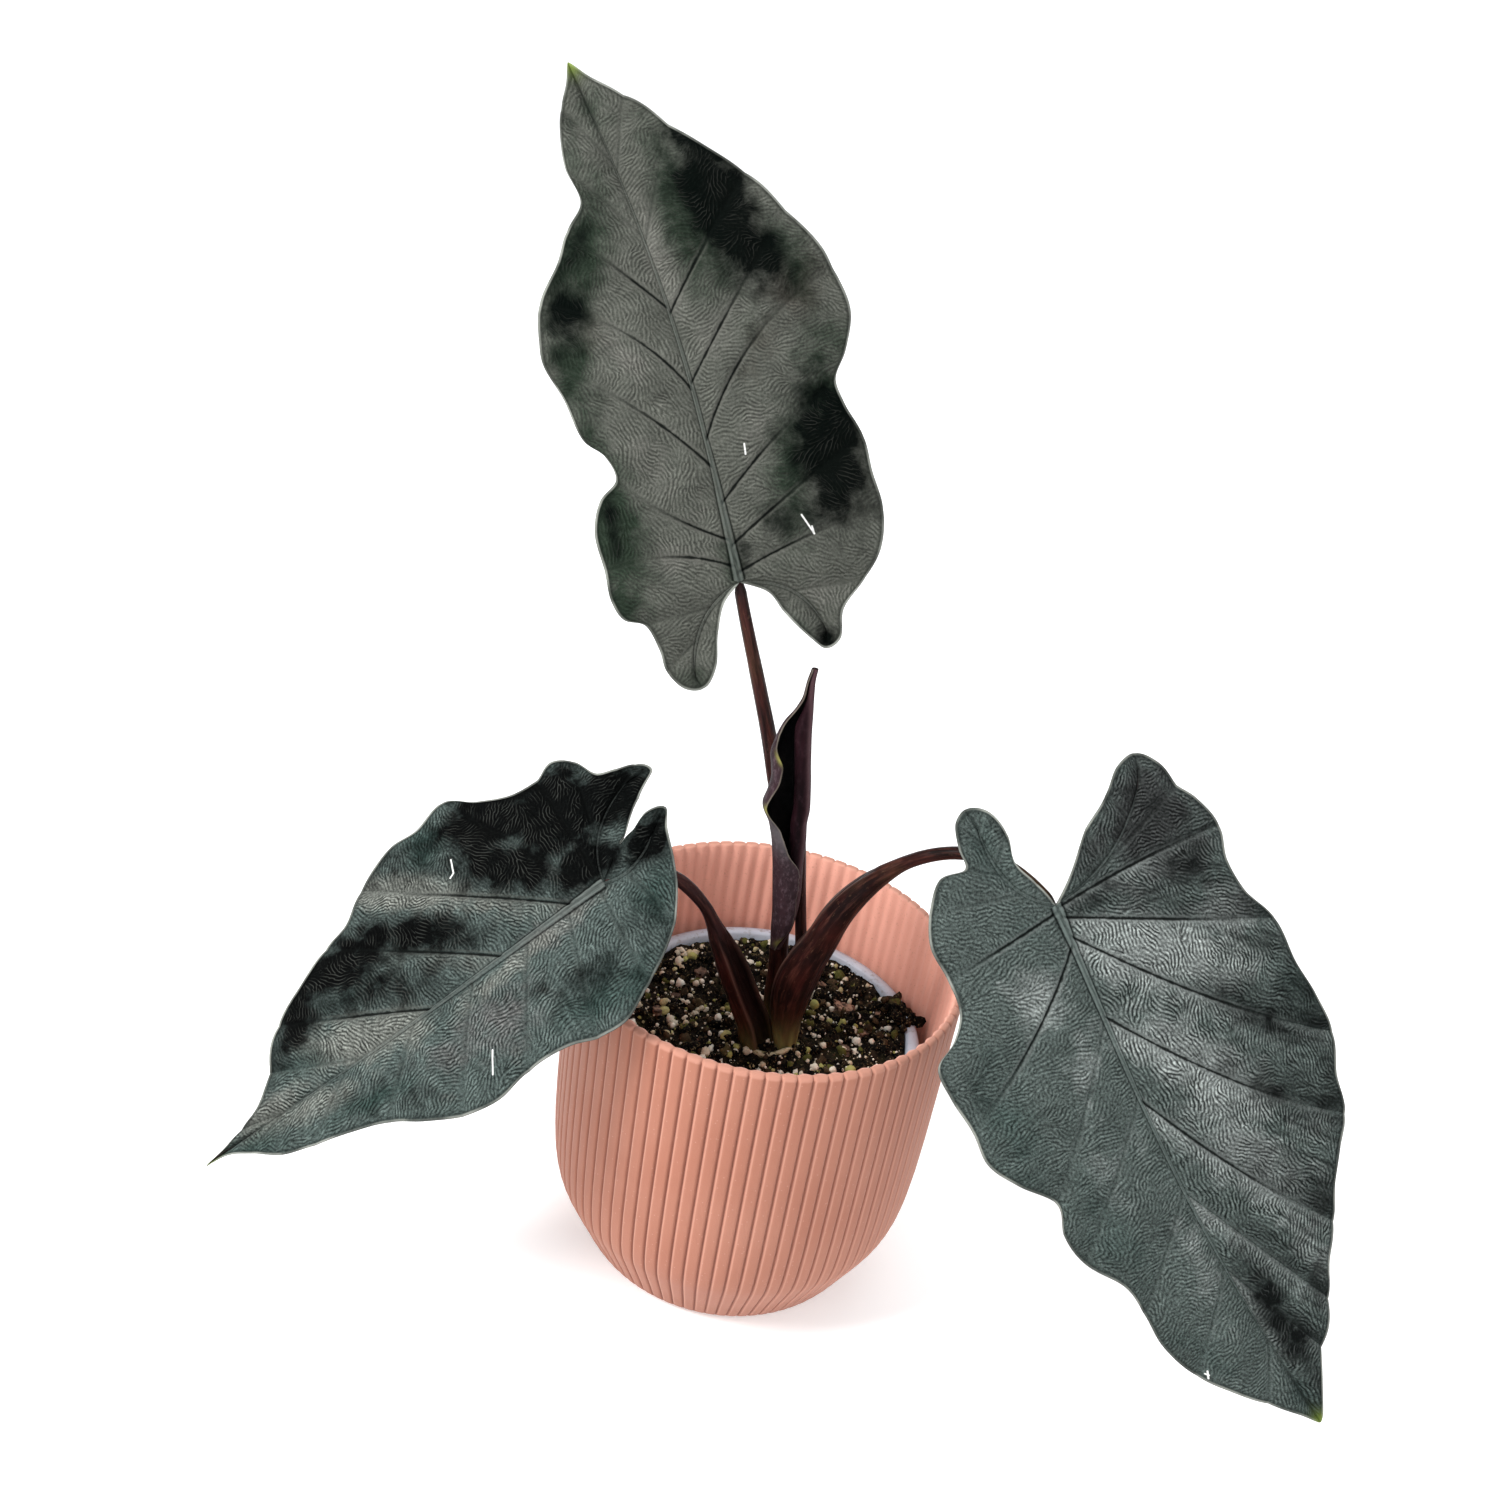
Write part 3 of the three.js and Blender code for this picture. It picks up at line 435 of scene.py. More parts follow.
# Potting mix: dark peat, poured in and heaped a little round the stem, with loose crumbs,
# white perlite grains and tan bark chips lying in its top, and a clump against the rim on
# the right. Only its own weight holds it.
soil_top = 91.5
soil_radius = 52.8
stem_centre = (6, -4)
mix_rings, mix_sectors = 62, 224
buried_rings = [(52.2, 84), (46, 45), (41, 6.4), (40, 5.8), (18, 5.8)]
small_crumbs, rim_crumbs = 1150, 60
clump_turn, clump_radius, clump_height = 20, 53.5, 93
large_grains, all_grains = 380, 1400
chip_rows, chip_columns = 5, 9
# Each chip by its place (x, y) from the pot's centre line, its half length and its turn.
bark_chips = [
    (29, 17, 5.5, 0.3), (31, -7, 4, 2), (-26, 22, 4.5, 1.1), (-14, -31, 4, 0.6), (8, 33, 4.5, 2.6),
    (37, 4, 3, 0.8), (-38, -6, 3.4, 1.9), (20, 30, 2.6, 0.2), (-6, -42, 3, 2.2), (24, -27, 3.2, 1.3),
    (-33, 5, 2.6, 2.9), (12, -36, 2.8, 0.4), (42, 18, 2.4, 1.7), (-20, -18, 2.8, 0.1),
]


def mix_height(x, y):
    broad = sin(x * 0.16 + 1.3) * cos(y * 0.14 - 0.4) + 0.7 * sin(x * 0.31 - y * 0.27)
    crown = 2.4 * exp(-((x - stem_centre[0]) ** 2 + (y - stem_centre[1]) ** 2) / 500)
    return soil_top + 0.96 * broad + crown


def mix_surface(x, y):
    place = Vector((x, y, 3)) / 5
    crumbs = 1.3 * noise.fractal(place, 0.8, 2.1, 4) + 0.8 * noise.noise(Vector((x, y, 9)) / 1.5)
    return mix_height(x, y) + crumbs


def dark_peat():
    peat = Finish("dark_peat", 0.95, specular_ior_level=0.1)
    anywhere = peat.place()
    black, brown = (0.0018, 0.0015, 0.0013), (0.024, 0.016, 0.010)
    moss, fibre = (0.045, 0.042, 0.014), (0.30, 0.23, 0.12)
    body = peat.clouded(black, brown, (3, anywhere, 4, 0.65), 0.42, 0.6)
    body = peat.clouded(body, moss, (9, anywhere, 3), 0.54, 0.66, 0, 0.4)
    peat.colour(peat.clouded(body, fibre, (0.9, anywhere, 2), 0.64, 0.72, 0, 0.9))
    peat.emboss(peat.cloud(1.3, anywhere, 4, 0.7), 1.2)
    return peat


def lump_shapes(count, roughness, seed):
    """Unit lumps like broken grains, each a ball knocked out of round."""
    shapes = []
    for kind in range(count):
        bpy.ops.mesh.primitive_ico_sphere_add(subdivisions=2, radius=1)
        ball = bpy.context.object
        corners = np.array([v.co[:] for v in ball.data.vertices])
        faces = [list(p.vertices) for p in ball.data.polygons]
        swell = np.array([noise.noise(Vector(c) * 1.3 + Vector((seed, kind * 7.3, 0))) for c in corners])
        flats = np.array([noise.noise(Vector(c) * 2.9 + Vector((kind * 3.1, seed, 5))) for c in corners])
        shapes.append((corners * (1 + roughness * swell + 0.6 * roughness * flats)[:, None], faces))
        bpy.data.objects.remove(ball)
    return shapes


def scatter(name, finish, shapes, spots, random):
    """Joins one lump at each spot (place, half sizes) into a piece, turned at random."""
    points, faces, shades, first = [], [], [], 0
    for place, half_sizes in spots:
        corners, lump_faces = shapes[random.integers(len(shapes))]
        turn = np.linalg.qr(random.normal(size=(3, 3)))[0]
        if np.linalg.det(turn) < 0:
            turn[:, 0] *= -1
        points.append(corners * half_sizes @ turn.T + place)
        faces += [[first + corner for corner in face] for face in lump_faces]
        first += len(corners)
        shades.append(np.full(len(corners), random.random()))
    make_piece(name, np.concatenate(points), faces, finish, "potting_mix", shade=np.concatenate(shades))


def spot_on_mix(random, reach):
    """A place drawn evenly over the mix, out to a share of its radius."""
    radius, angle = soil_radius * random.random() ** 0.5 * reach, random.random() * 2 * pi
    return in_nursery_pot(radius, angle)


def potting_mix():
    angles = round_angles(mix_sectors)
    points = []
    for ring in range(1, mix_rings + 1):
        for angle in angles:
            x, y = in_nursery_pot(soil_radius * ring / mix_rings, angle)
            points.append((x, y, mix_surface(x, y)))
    for radius, z in buried_rings:
        points += [(*in_nursery_pot(radius, angle), z) for angle in angles]
    points += [(*nursery_centre, mix_surface(*nursery_centre)), (*nursery_centre, buried_rings[-1][1])]
    top, bottom = len(points) - 2, len(points) - 1
    rings = mix_rings + len(buried_rings)
    faces = [face[::-1] for face in skin_faces(rings, mix_sectors, True)]
    faces += [[k, (k + 1) % mix_sectors, top] for k in range(mix_sectors)]
    under = (rings - 1) * mix_sectors
    faces += [[under + (k + 1) % mix_sectors, under + k, bottom] for k in range(mix_sectors)]
    make_piece("potting_mix_fill", points, faces, dark_peat(), "potting_mix", ["soil"])


def loose_crumbs():
    crumb = Finish("peat_crumbs", 0.95, specular_ior_level=0.1)
    anywhere = crumb.place()
    shade = crumb.reading("shade")
    black, brown = (0.003, 0.0024, 0.002), (0.085, 0.055, 0.030)
    mossy, fibre = (0.085, 0.085, 0.022), (0.24, 0.18, 0.095)
    body = crumb.tint(crumb.spread(shade, 0.55, 1), black, brown)
    body = crumb.tint(crumb.spread(shade, 0.9, 0.93), body, mossy)
    crumb.colour(crumb.clouded(body, fibre, (0.8, anywhere, 3), 0.58, 0.7, 0, 0.7))
    crumb.emboss(crumb.cloud(0.7, anywhere, 3), 0.4)
    random = np.random.default_rng(21)
    spots = []
    for _ in range(small_crumbs):
        x, y = spot_on_mix(random, 0.985)
        size = 0.6 + 1.9 * random.random() ** 2.4
        spots.append(((x, y, mix_surface(x, y) + size * 0.25), size * random.uniform(0.6, 1.1, 3)))
    for _ in range(rim_crumbs):
        angle = radians(clump_turn) + random.normal() * 0.07
        x, y = in_nursery_pot(clump_radius + random.normal() * 2.2, angle)
        size = 0.8 + 1.5 * random.random()
        spots.append(((x, y, clump_height + 2.4 * random.random()), size * random.uniform(0.7, 1.1, 3)))
    scatter("peat_crumbs", crumb, lump_shapes(7, 0.55, 3), spots, random)


def perlite():
    white = Finish("perlite_white", 0.9, specular_ior_level=0.3)
    anywhere = white.place()
    cream = white.tint(white.reading("shade"), (0.90, 0.87, 0.76), (0.55, 0.42, 0.26))
    cream = white.tint(white.spread(white.reading("shade"), 0.86, 0.9), cream, (0.38, 0.37, 0.12))
    stain = (0.22, 0.19, 0.09)
    white.colour(white.clouded(cream, stain, (1.3, anywhere, 3), 0.56, 0.72, 0, 0.5))
    white.emboss(white.cloud(0.5, anywhere, 2), 0.3)
    random = np.random.default_rng(8)
    spots = []
    for grain in range(all_grains):
        x, y = spot_on_mix(random, 0.97)
        large = grain < large_grains
        size = 0.6 + 1.4 * random.random() ** 1.5 if large else 0.2 + 0.45 * random.random() ** 1.4
        spots.append(((x, y, mix_surface(x, y) + 0.3 * size + 0.35), size * random.uniform(0.7, 1.1, 3)))
    scatter("perlite_grains", white, lump_shapes(7, 0.4, 11), spots, random)


def slab_faces(rows, columns, first=0, turned=False):
    """The faces of a thin slab: two sheets of points, one after the other, and the band between
    their edges."""
    size = rows * columns
    near, far = (skin_faces(rows, columns, False, first + skipped) for skipped in (0, size))
    faces = [face[::-1] for face in near] + far if turned else near + [face[::-1] for face in far]
    rim = [*range(columns), *range(2 * columns - 1, size, columns)]
    rim += [*range(size - 2, size - columns - 1, -1), *range(size - 2 * columns, 0, -columns)]
    for a, b in zip(rim, rim[1:] + rim[:1]):
        band = (a, b, b + size, a + size) if turned else (b, a, a + size, b + size)
        faces.append([first + corner for corner in band])
    return faces


def bark():
    tan = Finish("bark_tan", 0.85, specular_ior_level=0.3)
    grain = tan.place((1, 1, 5))
    brown = tan.tint(tan.reading("shade"), (0.36, 0.22, 0.15), (0.10, 0.06, 0.04))
    tan.colour(tan.clouded(brown, (0.05, 0.03, 0.02), (2.5, grain, 3), 0.45, 0.62))
    tan.emboss(tan.cloud(1.1, grain, 3), 0.5)
    random = np.random.default_rng(5)
    corners = np.array([(x, y, z) for z in (-1, 1) for y in np.linspace(-1, 1, chip_rows)
                        for x in np.linspace(-1, 1, chip_columns)])
    points, faces, shades, first = [], [], [], 0
    for number, (x, y, size, turn) in enumerate(bark_chips):
        swell = np.array([noise.noise(Vector(c) * 1.7 + Vector((number * 3.7, 0, 0))) for c in corners])
        edge = 1 - 0.3 * (np.abs(corners[:, 0]) > 0.95) - 0.2 * (np.abs(corners[:, 1]) > 0.95)
        chip = corners * [size * 0.95, size * 0.5, size * 0.22] * (1 + 0.45 * swell)[:, None]
        chip[:, :2] *= edge[:, None]
        lean = np.array(Matrix.Rotation(turn, 3, "Z") @ Matrix.Rotation(0.25, 3, "Y"))
        x, y = nursery_centre[0] + x, nursery_centre[1] + y
        points.append(chip @ lean.T + (x, y, mix_height(x, y) + size * 0.25))
        faces += slab_faces(chip_rows, chip_columns, first, True)
        shades.append(np.full(len(corners), 0.0 if number == 0 else random.random()))
        first += len(corners)
    make_piece("bark_chips", np.concatenate(points), faces, tan, "potting_mix", shade=np.concatenate(shades))


potting_mix()
loose_crumbs()
perlite()
bark()

# Stem base: the short fleshy stem that all stalks grow from, sunk in the mix, green-brown
# with the ring scars of old leaves. Only its top shows between the stalks.
# A low pale crescent, the scar of a stalk that was cut off, lies along its front.
stem_outline = [(0.3, 62), (5.2, 62), (11, 71), (13, 80), (12.4, 86), (11.4, 89.4), (7, 90.2), (0.3, 90.4)]
stem_sides, stem_steps = 56, 44
crescent_sides, crescent_steps = 10, 25
crescent_start, crescent_sweep = -122, 78
crescent_reach = 11.6


def stem_base():
    green = Finish("stem_green", 0.6, specular_ior_level=0.4)
    anywhere = green.place((1, 1, 2))
    mottled = green.clouded((0.20, 0.22, 0.06), (0.10, 0.06, 0.03), (5, anywhere, 3), 0.4, 0.65)
    aged = green.tint(green.reading("scar"), mottled, (0.05, 0.03, 0.02))
    cream = green.clouded((0.62, 0.55, 0.36), (0.20, 0.17, 0.07), (2, anywhere, 3), 0.45, 0.65)
    green.colour(green.tint(green.spread(green.reading("scar"), -0.5, -0.9), aged, cream))
    green.emboss(green.cloud(1.4, anywhere, 3), 0.3)
    line = smooth_line(stem_outline, np.linspace(0, 1, stem_steps))
    angles = round_angles(stem_sides)
    points, scars = [], []
    for radius, z in line:
        scar = 0.5 + 0.5 * np.sin(z * 1.5 + 0.6 * np.sin(angles))
        ring = radius - 0.35 * scar * min(1, radius / 6)
        points.append(ring_points(ring, angles, z, stem_centre))
        scars.append(scar ** 3)
    rounds = round_angles(crescent_sides)
    for share in np.linspace(0, 1, crescent_steps):
        turn = radians(crescent_start + crescent_sweep * share)
        thick = 1.15 * sin(pi * (0.06 + 0.88 * share)) ** 0.6
        reach = crescent_reach + thick * np.cos(rounds)
        x, y = stem_centre[0] + reach * cos(turn), stem_centre[1] + reach * sin(turn)
        height = mix_height(x[0], y[0]) + 0.5 + 0.6 * sin(9 * share) + 1.3 * thick * np.sin(rounds)
        points.append(np.stack([x, y, height], axis=-1))
        scars.append(np.full(crescent_sides, -1.0))
    faces = tube_faces(stem_steps, stem_sides)
    faces += tube_faces(crescent_steps, crescent_sides, stem_steps * stem_sides)
    make_piece("stem_base", np.concatenate(points), faces, green, "stem_base", ["corm"],
               scar=np.concatenate(scars))


stem_base()

# Open leaves: each blade is one velvety sheet grown on the end of its stalk, round a raised
# midrib, with sunken side veins, swollen panels between them, and fine even wrinkles that
# run out in arcs to a thin pale margin.
blade_thickness = 0.8
keel_depth = 2.2
valley_depth = 1.4
full_pleat_length = 24
rib_base_half_width, rib_tip_half_width, lobe_rib_half_width = 1.15, 0.2, 0.5
fold_pitch = 2.7
fold_height = 0.08
under_vein_height = 0.75
# A blade is made of lines from its rib to its edge, line_gap apart there. They start at even
# steps along the rib, and have a point at each of these shares of their length.
line_gap = 0.6
upper_rows = np.linspace(0, 1, 60) ** 1.3
lower_rows = np.linspace(0, 1, 11) ** 1.35
midrib_steps = 240
lobe_rib_steps, notch_steps = 30, 10
# The lines lean towards the tip. So a point is nearer to the rib, and two lines are nearer to
# each other, than is measured along them, by these shares.
lines_lean, panel_lean = 0.85, 0.8
# A blade runs from "junction" to "tip" and its upper side looks towards "facing". It curls
# back by "bend" radians, its sides hang by "droop" at 50 mm out, its midrib swings sideways
# by "bow", its panels swell by "pleat", and "sinus" is the notch between its lobes.
# An edge point is (along, across) in mm. A third number is the foot of the side vein that
# ends there, and a fourth the sweep of that vein towards the tip. A foot below zero is on
# the lobe's own rib, out to its end at -1 and back at -2.
# "veins" gives, for each side, the feet between which the veins show fully, and how much the
# others show. "lean" is how far the panels' near sides have painted shade and their far sides
# painted light, "ridged" how deep the wrinkles are, and "streaky" how much dark streaks run beside the veins.
# Patches on the nap, each (along, across, half length, half width, turn in degrees): black
# where painted shade darkens it, pale where painted sheen lights it, teal and warm where it is
# tinted to its cool or brown tone. A sixth number is a patch's strength where it isn't 1.
leaves = {
    "upright": {
        "junction": (-31, 22, 253), "tip": (-120, 108, 392), "facing": (0, -0.83, 0.52),
        "length": 188, "bend": 0.45, "droop": 7, "bow": 5.5, "lobe_curl": 0.004, "pleat": 2.6,
        "sinus": (0, 0),
        "right": [
            (177, 5), (168, 14, 142), (153, 25, 115), (141, 34), (130, 44, 90), (114, 53, 66), (99, 60),
            (91, 62, 47, 6), (75, 63), (62, 57), (54, 51, 26, 1.5), (45, 51), (33, 54, 12, 1), (21, 53),
            (8, 53, 3, 2), (-4, 48), (-12, 40, -0.5), (-19, 30), (-28, 26), (-30, 21, -1), (-25, 17),
            (-14, 11, -1.5), (-6, 8),
        ],
        "right_rib": ((-4, 20), (-24, 23)),
        "left": [
            (177, -3), (170, -7, 145), (160, -10), (149, -12, 118), (133, -11), (127, -18, 92), (117, -24),
            (107, -34, 64, 5), (94, -38), (88, -39, 38, 3), (74, -36), (59, -34), (52, -29),
            (44, -28, 14, -2), (39, -35), (30, -40), (17, -41, 5, 4), (7, -42), (0, -40), (-4, -34, -0.35),
            (-13, -32), (-21, -32, -0.7), (-28, -28), (-30, -22, -1), (-24, -16), (-14, -12, -1.5),
            (-5, -7),
        ],
        "left_rib": ((-4, -18), (-25, -24)),
        "veins": {"right": (-1, 100, 0.3), "left": (-1, 100, 0.25)},
        "vein_end": 0.8, "lean": {"right": 0.2, "left": 0.25},
        "ridged": {"right": 1, "left": 1}, "streaky": {"right": 0, "left": 0},
        "wrinkle_pitch": 1.3, "contrast": 0.7, "rib": (0.085, 0.098, 0.087),
        "skin": (0.066, 0.069, 0.059), "light": (0.112, 0.110, 0.098),
        "shade": (0.0008, 0.0018, 0.0014), "cool": (0.010, 0.018, 0.011), "brown": (0.040, 0.036, 0.030),
        "black": [
            (31, 41.5, 24, 12.5, 8), (-27, 22, 5, 4, 0, 0.8), (121, 32, 26, 12, -8),
            (99, 40, 12, 10, 0, 0.9), (100, -27, 12, 7, 15, 0.85), (146, 28, 8, 5, -40, 0.8),
            (8, 4, 8, 3, 10, 0.6), (120, -17, 14, 5, 32, 0.6), (30, -34, 14, 3, 8, 0.6),
            (14, 18, 12, 6, 50, 0.55),
        ],
        "teal": [
            (28, -34, 26, 10, 5), (86, -30, 20, 8, 4, 0.8), (60, -31, 16, 5, -3, 0.7),
            (64, 49, 16, 10, 30, 0.65), (48, 45, 12, 8, 30), (116, -18, 28, 10, 30, 0.9),
            (150, -8, 16, 4, 12, 0.5), (166, 2, 14, 8, 0, 0.45), (118, 22, 34, 10, -4, 0.9),
            (6, 0, 7, 4, 0, 0.7), (4, -39, 12, 6, 0, 0.8), (30, 28, 26, 9, 20, 0.8),
            (100, 48, 16, 7, -10, 0.8), (-28, -24, 7, 7, 0, 0.5), (-20, 12, 12, 4, -30, 0.5),
        ],
        "pale": [
            (84, 22, 14, 8, 40, 0.6), (46, -16, 20, 7, -25, 0.4), (110, 8, 26, 5, 0, 0.6),
            (45, 22, 12, 6, 45, 0.5), (80, -12, 16, 5, -20, 0.5), (15, -20, 12, 6, -60, 0.5),
            (-12, 25, 9, 8, 60, 0.4),
        ],
        "warm": [(88, 47, 12, 10, 20, 0.8), (70, 30, 12, 7, 50, 0.5), (92, -22, 9, 7, 0, 0.5)],
    },
    "left": {
        "junction": (-57, -30, 162), "tip": (-173, -77, 52), "facing": (-0.27, -0.62, 0.74),
        "length": 167.5, "bend": 0.35, "droop": 6, "bow": -5, "lobe_curl": 0.004, "pleat": 2.4,
        "sinus": (-9, 8),
        "right": [
            (156, -1), (148, 1, 132), (137, 3), (130, 11, 98), (121, 24, 69), (106, 31), (95, 38, 40),
            (84, 40), (76, 50, 12), (60, 58), (49, 58), (37, 64, 4), (25, 54), (13, 48), (3, 49, 0),
            (-4, 52), (-11, 48, -0.4), (-16, 37), (-22, 35), (-29, 34, -0.9), (-33, 29, -1),
            (-24, 21, -1.3), (-14, 11, -2),
        ],
        "right_rib": ((-2, 20), (-24, 30)),
        "left": [
            (155, -4), (148, -8, 132), (135, -17), (125, -20, 104), (110, -25), (98, -29, 76), (87, -36),
            (76, -41, 52), (62, -44), (50, -41, 30), (35, -42), (26, -44, 14), (15, -45), (3, -38, 2),
            (-6, -33), (-14, -25, -0.4), (-20, -16), (-24, -5, -0.8), (-27, 5), (-30, 13, -1), (-24, 14),
            (-17, 11, -2),
        ],
        "left_rib": ((-10, -4), (-22, 7)),
        "veins": {"right": (12, 90, 0.25), "left": (-1, -1, 0.35)},
        "vein_end": 0.95, "lean": {"right": 0.6, "left": 0.25},
        "ridged": {"right": 1, "left": 0.9}, "streaky": {"right": 0.25, "left": 0},
        "wrinkle_pitch": 1.2, "contrast": 1.35, "rib": (0.12, 0.135, 0.125),
        "skin": (0.052, 0.067, 0.062), "light": (0.122, 0.127, 0.113),
        "shade": (0.0006, 0.0007, 0.0007), "cool": (0.016, 0.030, 0.026), "brown": (0.085, 0.080, 0.078),
        "black": [
            (-18, 26, 17, 13, 20), (2, 33, 18, 22, 0), (24, 44, 20, 15, 30), (3, 9, 14, 9, 0),
            (25, 24, 24, 11, 42, 0.9), (64, 21, 27, 8, 33, 0.85), (92, 27, 20, 10, 12),
            (76, 9, 28, 10, 20, 0.58), (58, 52, 12, 6, 0, 0.5), (112, 22, 15, 8, -35, 0.9),
            (-20, 5, 11, 7, -30), (17, -28, 14, 7, 10, 0.55), (35, -21, 6, 3.5, 10, 0.6),
            (-6, -20, 9, 12, 0, 0.45), (96, -16, 24, 3, 12, 0.35), (88, -28, 14, 4, 12, 0.4),
        ],
        "teal": [
            (47, 50, 10, 10, 30, 0.8), (15, -34, 20, 9, 0, 0.7), (-12, -14, 13, 9, -50, 0.7),
            (146, -7, 18, 7, 14, 0.6), (100, -20, 24, 4, 8, 0.6), (118, 6, 12, 5, 20, 0.6),
            (95, 22, 26, 10, 15, 0.5),
        ],
        "pale": [
            (62, 39, 24, 6, 38, 1.2), (92, 0, 22, 7, 22, 1), (38, 18, 16, 5, 38, 0.6),
            (36, -8, 30, 3.5, -8, 0.7), (122, -8, 24, 5, 10, 0.7), (137, -1, 14, 5, 0, 1),
        ],
        "warm": [(52, -22, 20, 11, 5, 0.6), (22, -5, 16, 6, -10, 0.6), (72, -22, 12, 8, 10, 0.5)],
    },
    "right": {
        "junction": (86, -35, 188), "tip": (208, -79, 36), "facing": (0.2, -0.86, 0.45),
        "length": 201.5, "bend": 0.45, "droop": 8, "bow": 8, "lobe_curl": 0.003, "pleat": 3,
        "sinus": (0, 0),
        "right": [
            (190, 6), (181, 14, 160), (167, 24), (158, 31, 128), (140, 37), (129, 37, 98), (116, 39),
            (105, 46, 64), (92, 48), (83, 45, 38), (71, 53), (61, 58), (50, 57, 13, 2), (37, 58), (26, 57),
            (21, 49), (14, 43), (4, 41, 2), (-8, 41), (-17, 36, -0.35), (-25, 28), (-24, 19, -0.6),
            (-30, 18), (-38, 14, -0.9), (-40, 9, -1), (-36, 4), (-27, 2, -1.3), (-18, 5), (-9, 2, -1.8),
        ],
        "right_rib": ((-10, 14), (-32, 9)),
        "left": [
            (187, -3), (173, -10, 130), (159, -19, 100), (145, -24), (137, -32, 66, 2), (124, -38),
            (116, -45), (110, -53, 37, 3), (95, -56), (85, -63, 10, 3), (70, -63), (57, -62), (42, -64, 4),
            (27, -58), (16, -58), (6, -63, 1, -2), (-6, -60), (-13, -57, -0.4), (-22, -55), (-29, -50, -1),
            (-28, -41), (-22, -33, -1.25), (-16, -21, -1.6), (-7, -9),
        ],
        "left_rib": ((0, -26), (-20, -46)),
        "veins": {"right": (-1, 20, 0.3), "left": (-1, 80, 0.4)},
        "vein_end": 1.0, "lean": {"right": 0.3, "left": 0.8},
        "ridged": {"right": 0.6, "left": 0.95}, "streaky": {"right": 0, "left": 0.6},
        "wrinkle_pitch": 1.25, "contrast": 1.5, "rib": (0.11, 0.135, 0.125),
        "skin": (0.054, 0.067, 0.062), "light": (0.165, 0.180, 0.172),
        "shade": (0.0022, 0.0030, 0.0028), "cool": (0.030, 0.043, 0.039), "brown": (0.026, 0.026, 0.026),
        "black": [
            (85, -56, 32, 7, 8, 0.4), (70, -44, 24, 5, -38, 0.62), (110, -49, 12, 6, 0, 0.55),
            (153, -1, 32, 6, -7, 0.78), (92, -34, 26, 5, -32, 0.5), (4, -12, 5, 12, 0, 0.62),
            (150, -17, 14, 4, 15, 0.5), (9, -46, 9, 14, 0, 0.6), (-10, -42, 18, 14, 60, 0.42),
            (128, -24, 18, 4, -28, 0.36), (45, -55, 20, 5, -40, 0.45), (-30, 3, 10, 3, 0, 0.5),
        ],
        "teal": [
            (98, 35, 24, 10, -6, 0.6), (55, 47, 26, 9, 8, 0.7), (-25, 10, 14, 6, 0, 0.6),
            (5, 12, 22, 6, 0, 0.4), (150, 26, 20, 6, -20, 0.5), (64, -57, 16, 6, 0, 0.6),
            (186, 2, 12, 5, -10, 0.7),
        ],
        "pale": [
            (30, -48, 8, 12, 20, 0.9), (30, -24, 26, 10, -50, 1), (66, -15, 26, 9, -30, 1),
            (100, -16, 28, 9, -22, 0.8), (135, -20, 20, 6, -5, 0.6), (22, 20, 9, 9, 40, 0.8),
            (45, 16, 14, 6, 40, 0.5), (84, 26, 16, 8, 0, 0.4), (125, 14, 26, 7, 0, 0.4),
            (24, -8, 14, 5, -30, 0.8), (118, -34, 10, 4, -10, 0.5),
        ],
        "warm": [(-10, -42, 20, 14, 60), (5, -40, 11, 24, 0, 0.8), (-8, -20, 8, 14, -30, 0.7)],
    },
}
vein_black, pale_margin, tip_green = (0.004, 0.005, 0.0045), (0.26, 0.27, 0.24), (0.20, 0.27, 0.05)
back_greys = (0.078, 0.062, 0.062), (0.100, 0.092, 0.080)
back_vein, back_vein_crest = (0.060, 0.034, 0.036), (0.15, 0.125, 0.115)
lint_white = (0.7, 0.7, 0.68)
# What a point's readings are where nothing is said: none of it there, or a line far off.
zero_readings = ["vein_depth", "rib_share", "wrinkle_turn", "calm", "streaky", "fold", "painted_panel_shade", "crest",
                 "under_vein", "out", "beside"]
far_readings = ["vein_gap", "rib_gap", "margin_gap"]
# Short white fibres that cling to the nap, each given by its two ends in mm.
lint = {
    "upright": [((38.7, 14.7), (42, 15.3)), ((7.5, 28.3), (14.6, 26)), ((7.5, 28.3), (10, 28.2))],
    "left": [((56.4, -29.5), (60, -36.2)), ((41.2, 38), (42.4, 33)), ((42.4, 33), (44.2, 32.2))],
    "right": [((157.6, 27.4), (160, 28.2)), ((158.2, 28.4), (159, 27.6))],
}


def velvet_wrinkles(velvet, leaf, on_leaf):
    """Fine wrinkles, from -1 to 1, which turn with the veins and die out in places."""
    turn = velvet.count("MULTIPLY_ADD", velvet.cloud(13, on_leaf, 1), 4.4, velvet.reading("wrinkle_turn"))
    ridges = velvet.ridges(leaf["wrinkle_pitch"], 4.5, on_leaf, 0.8, turn)
    patchy = velvet.spread(velvet.cloud(6, on_leaf, 2), 0.35, 0.62, 0.35, 1)
    return velvet.times(ridges, velvet.times(velvet.reading("calm"), patchy))


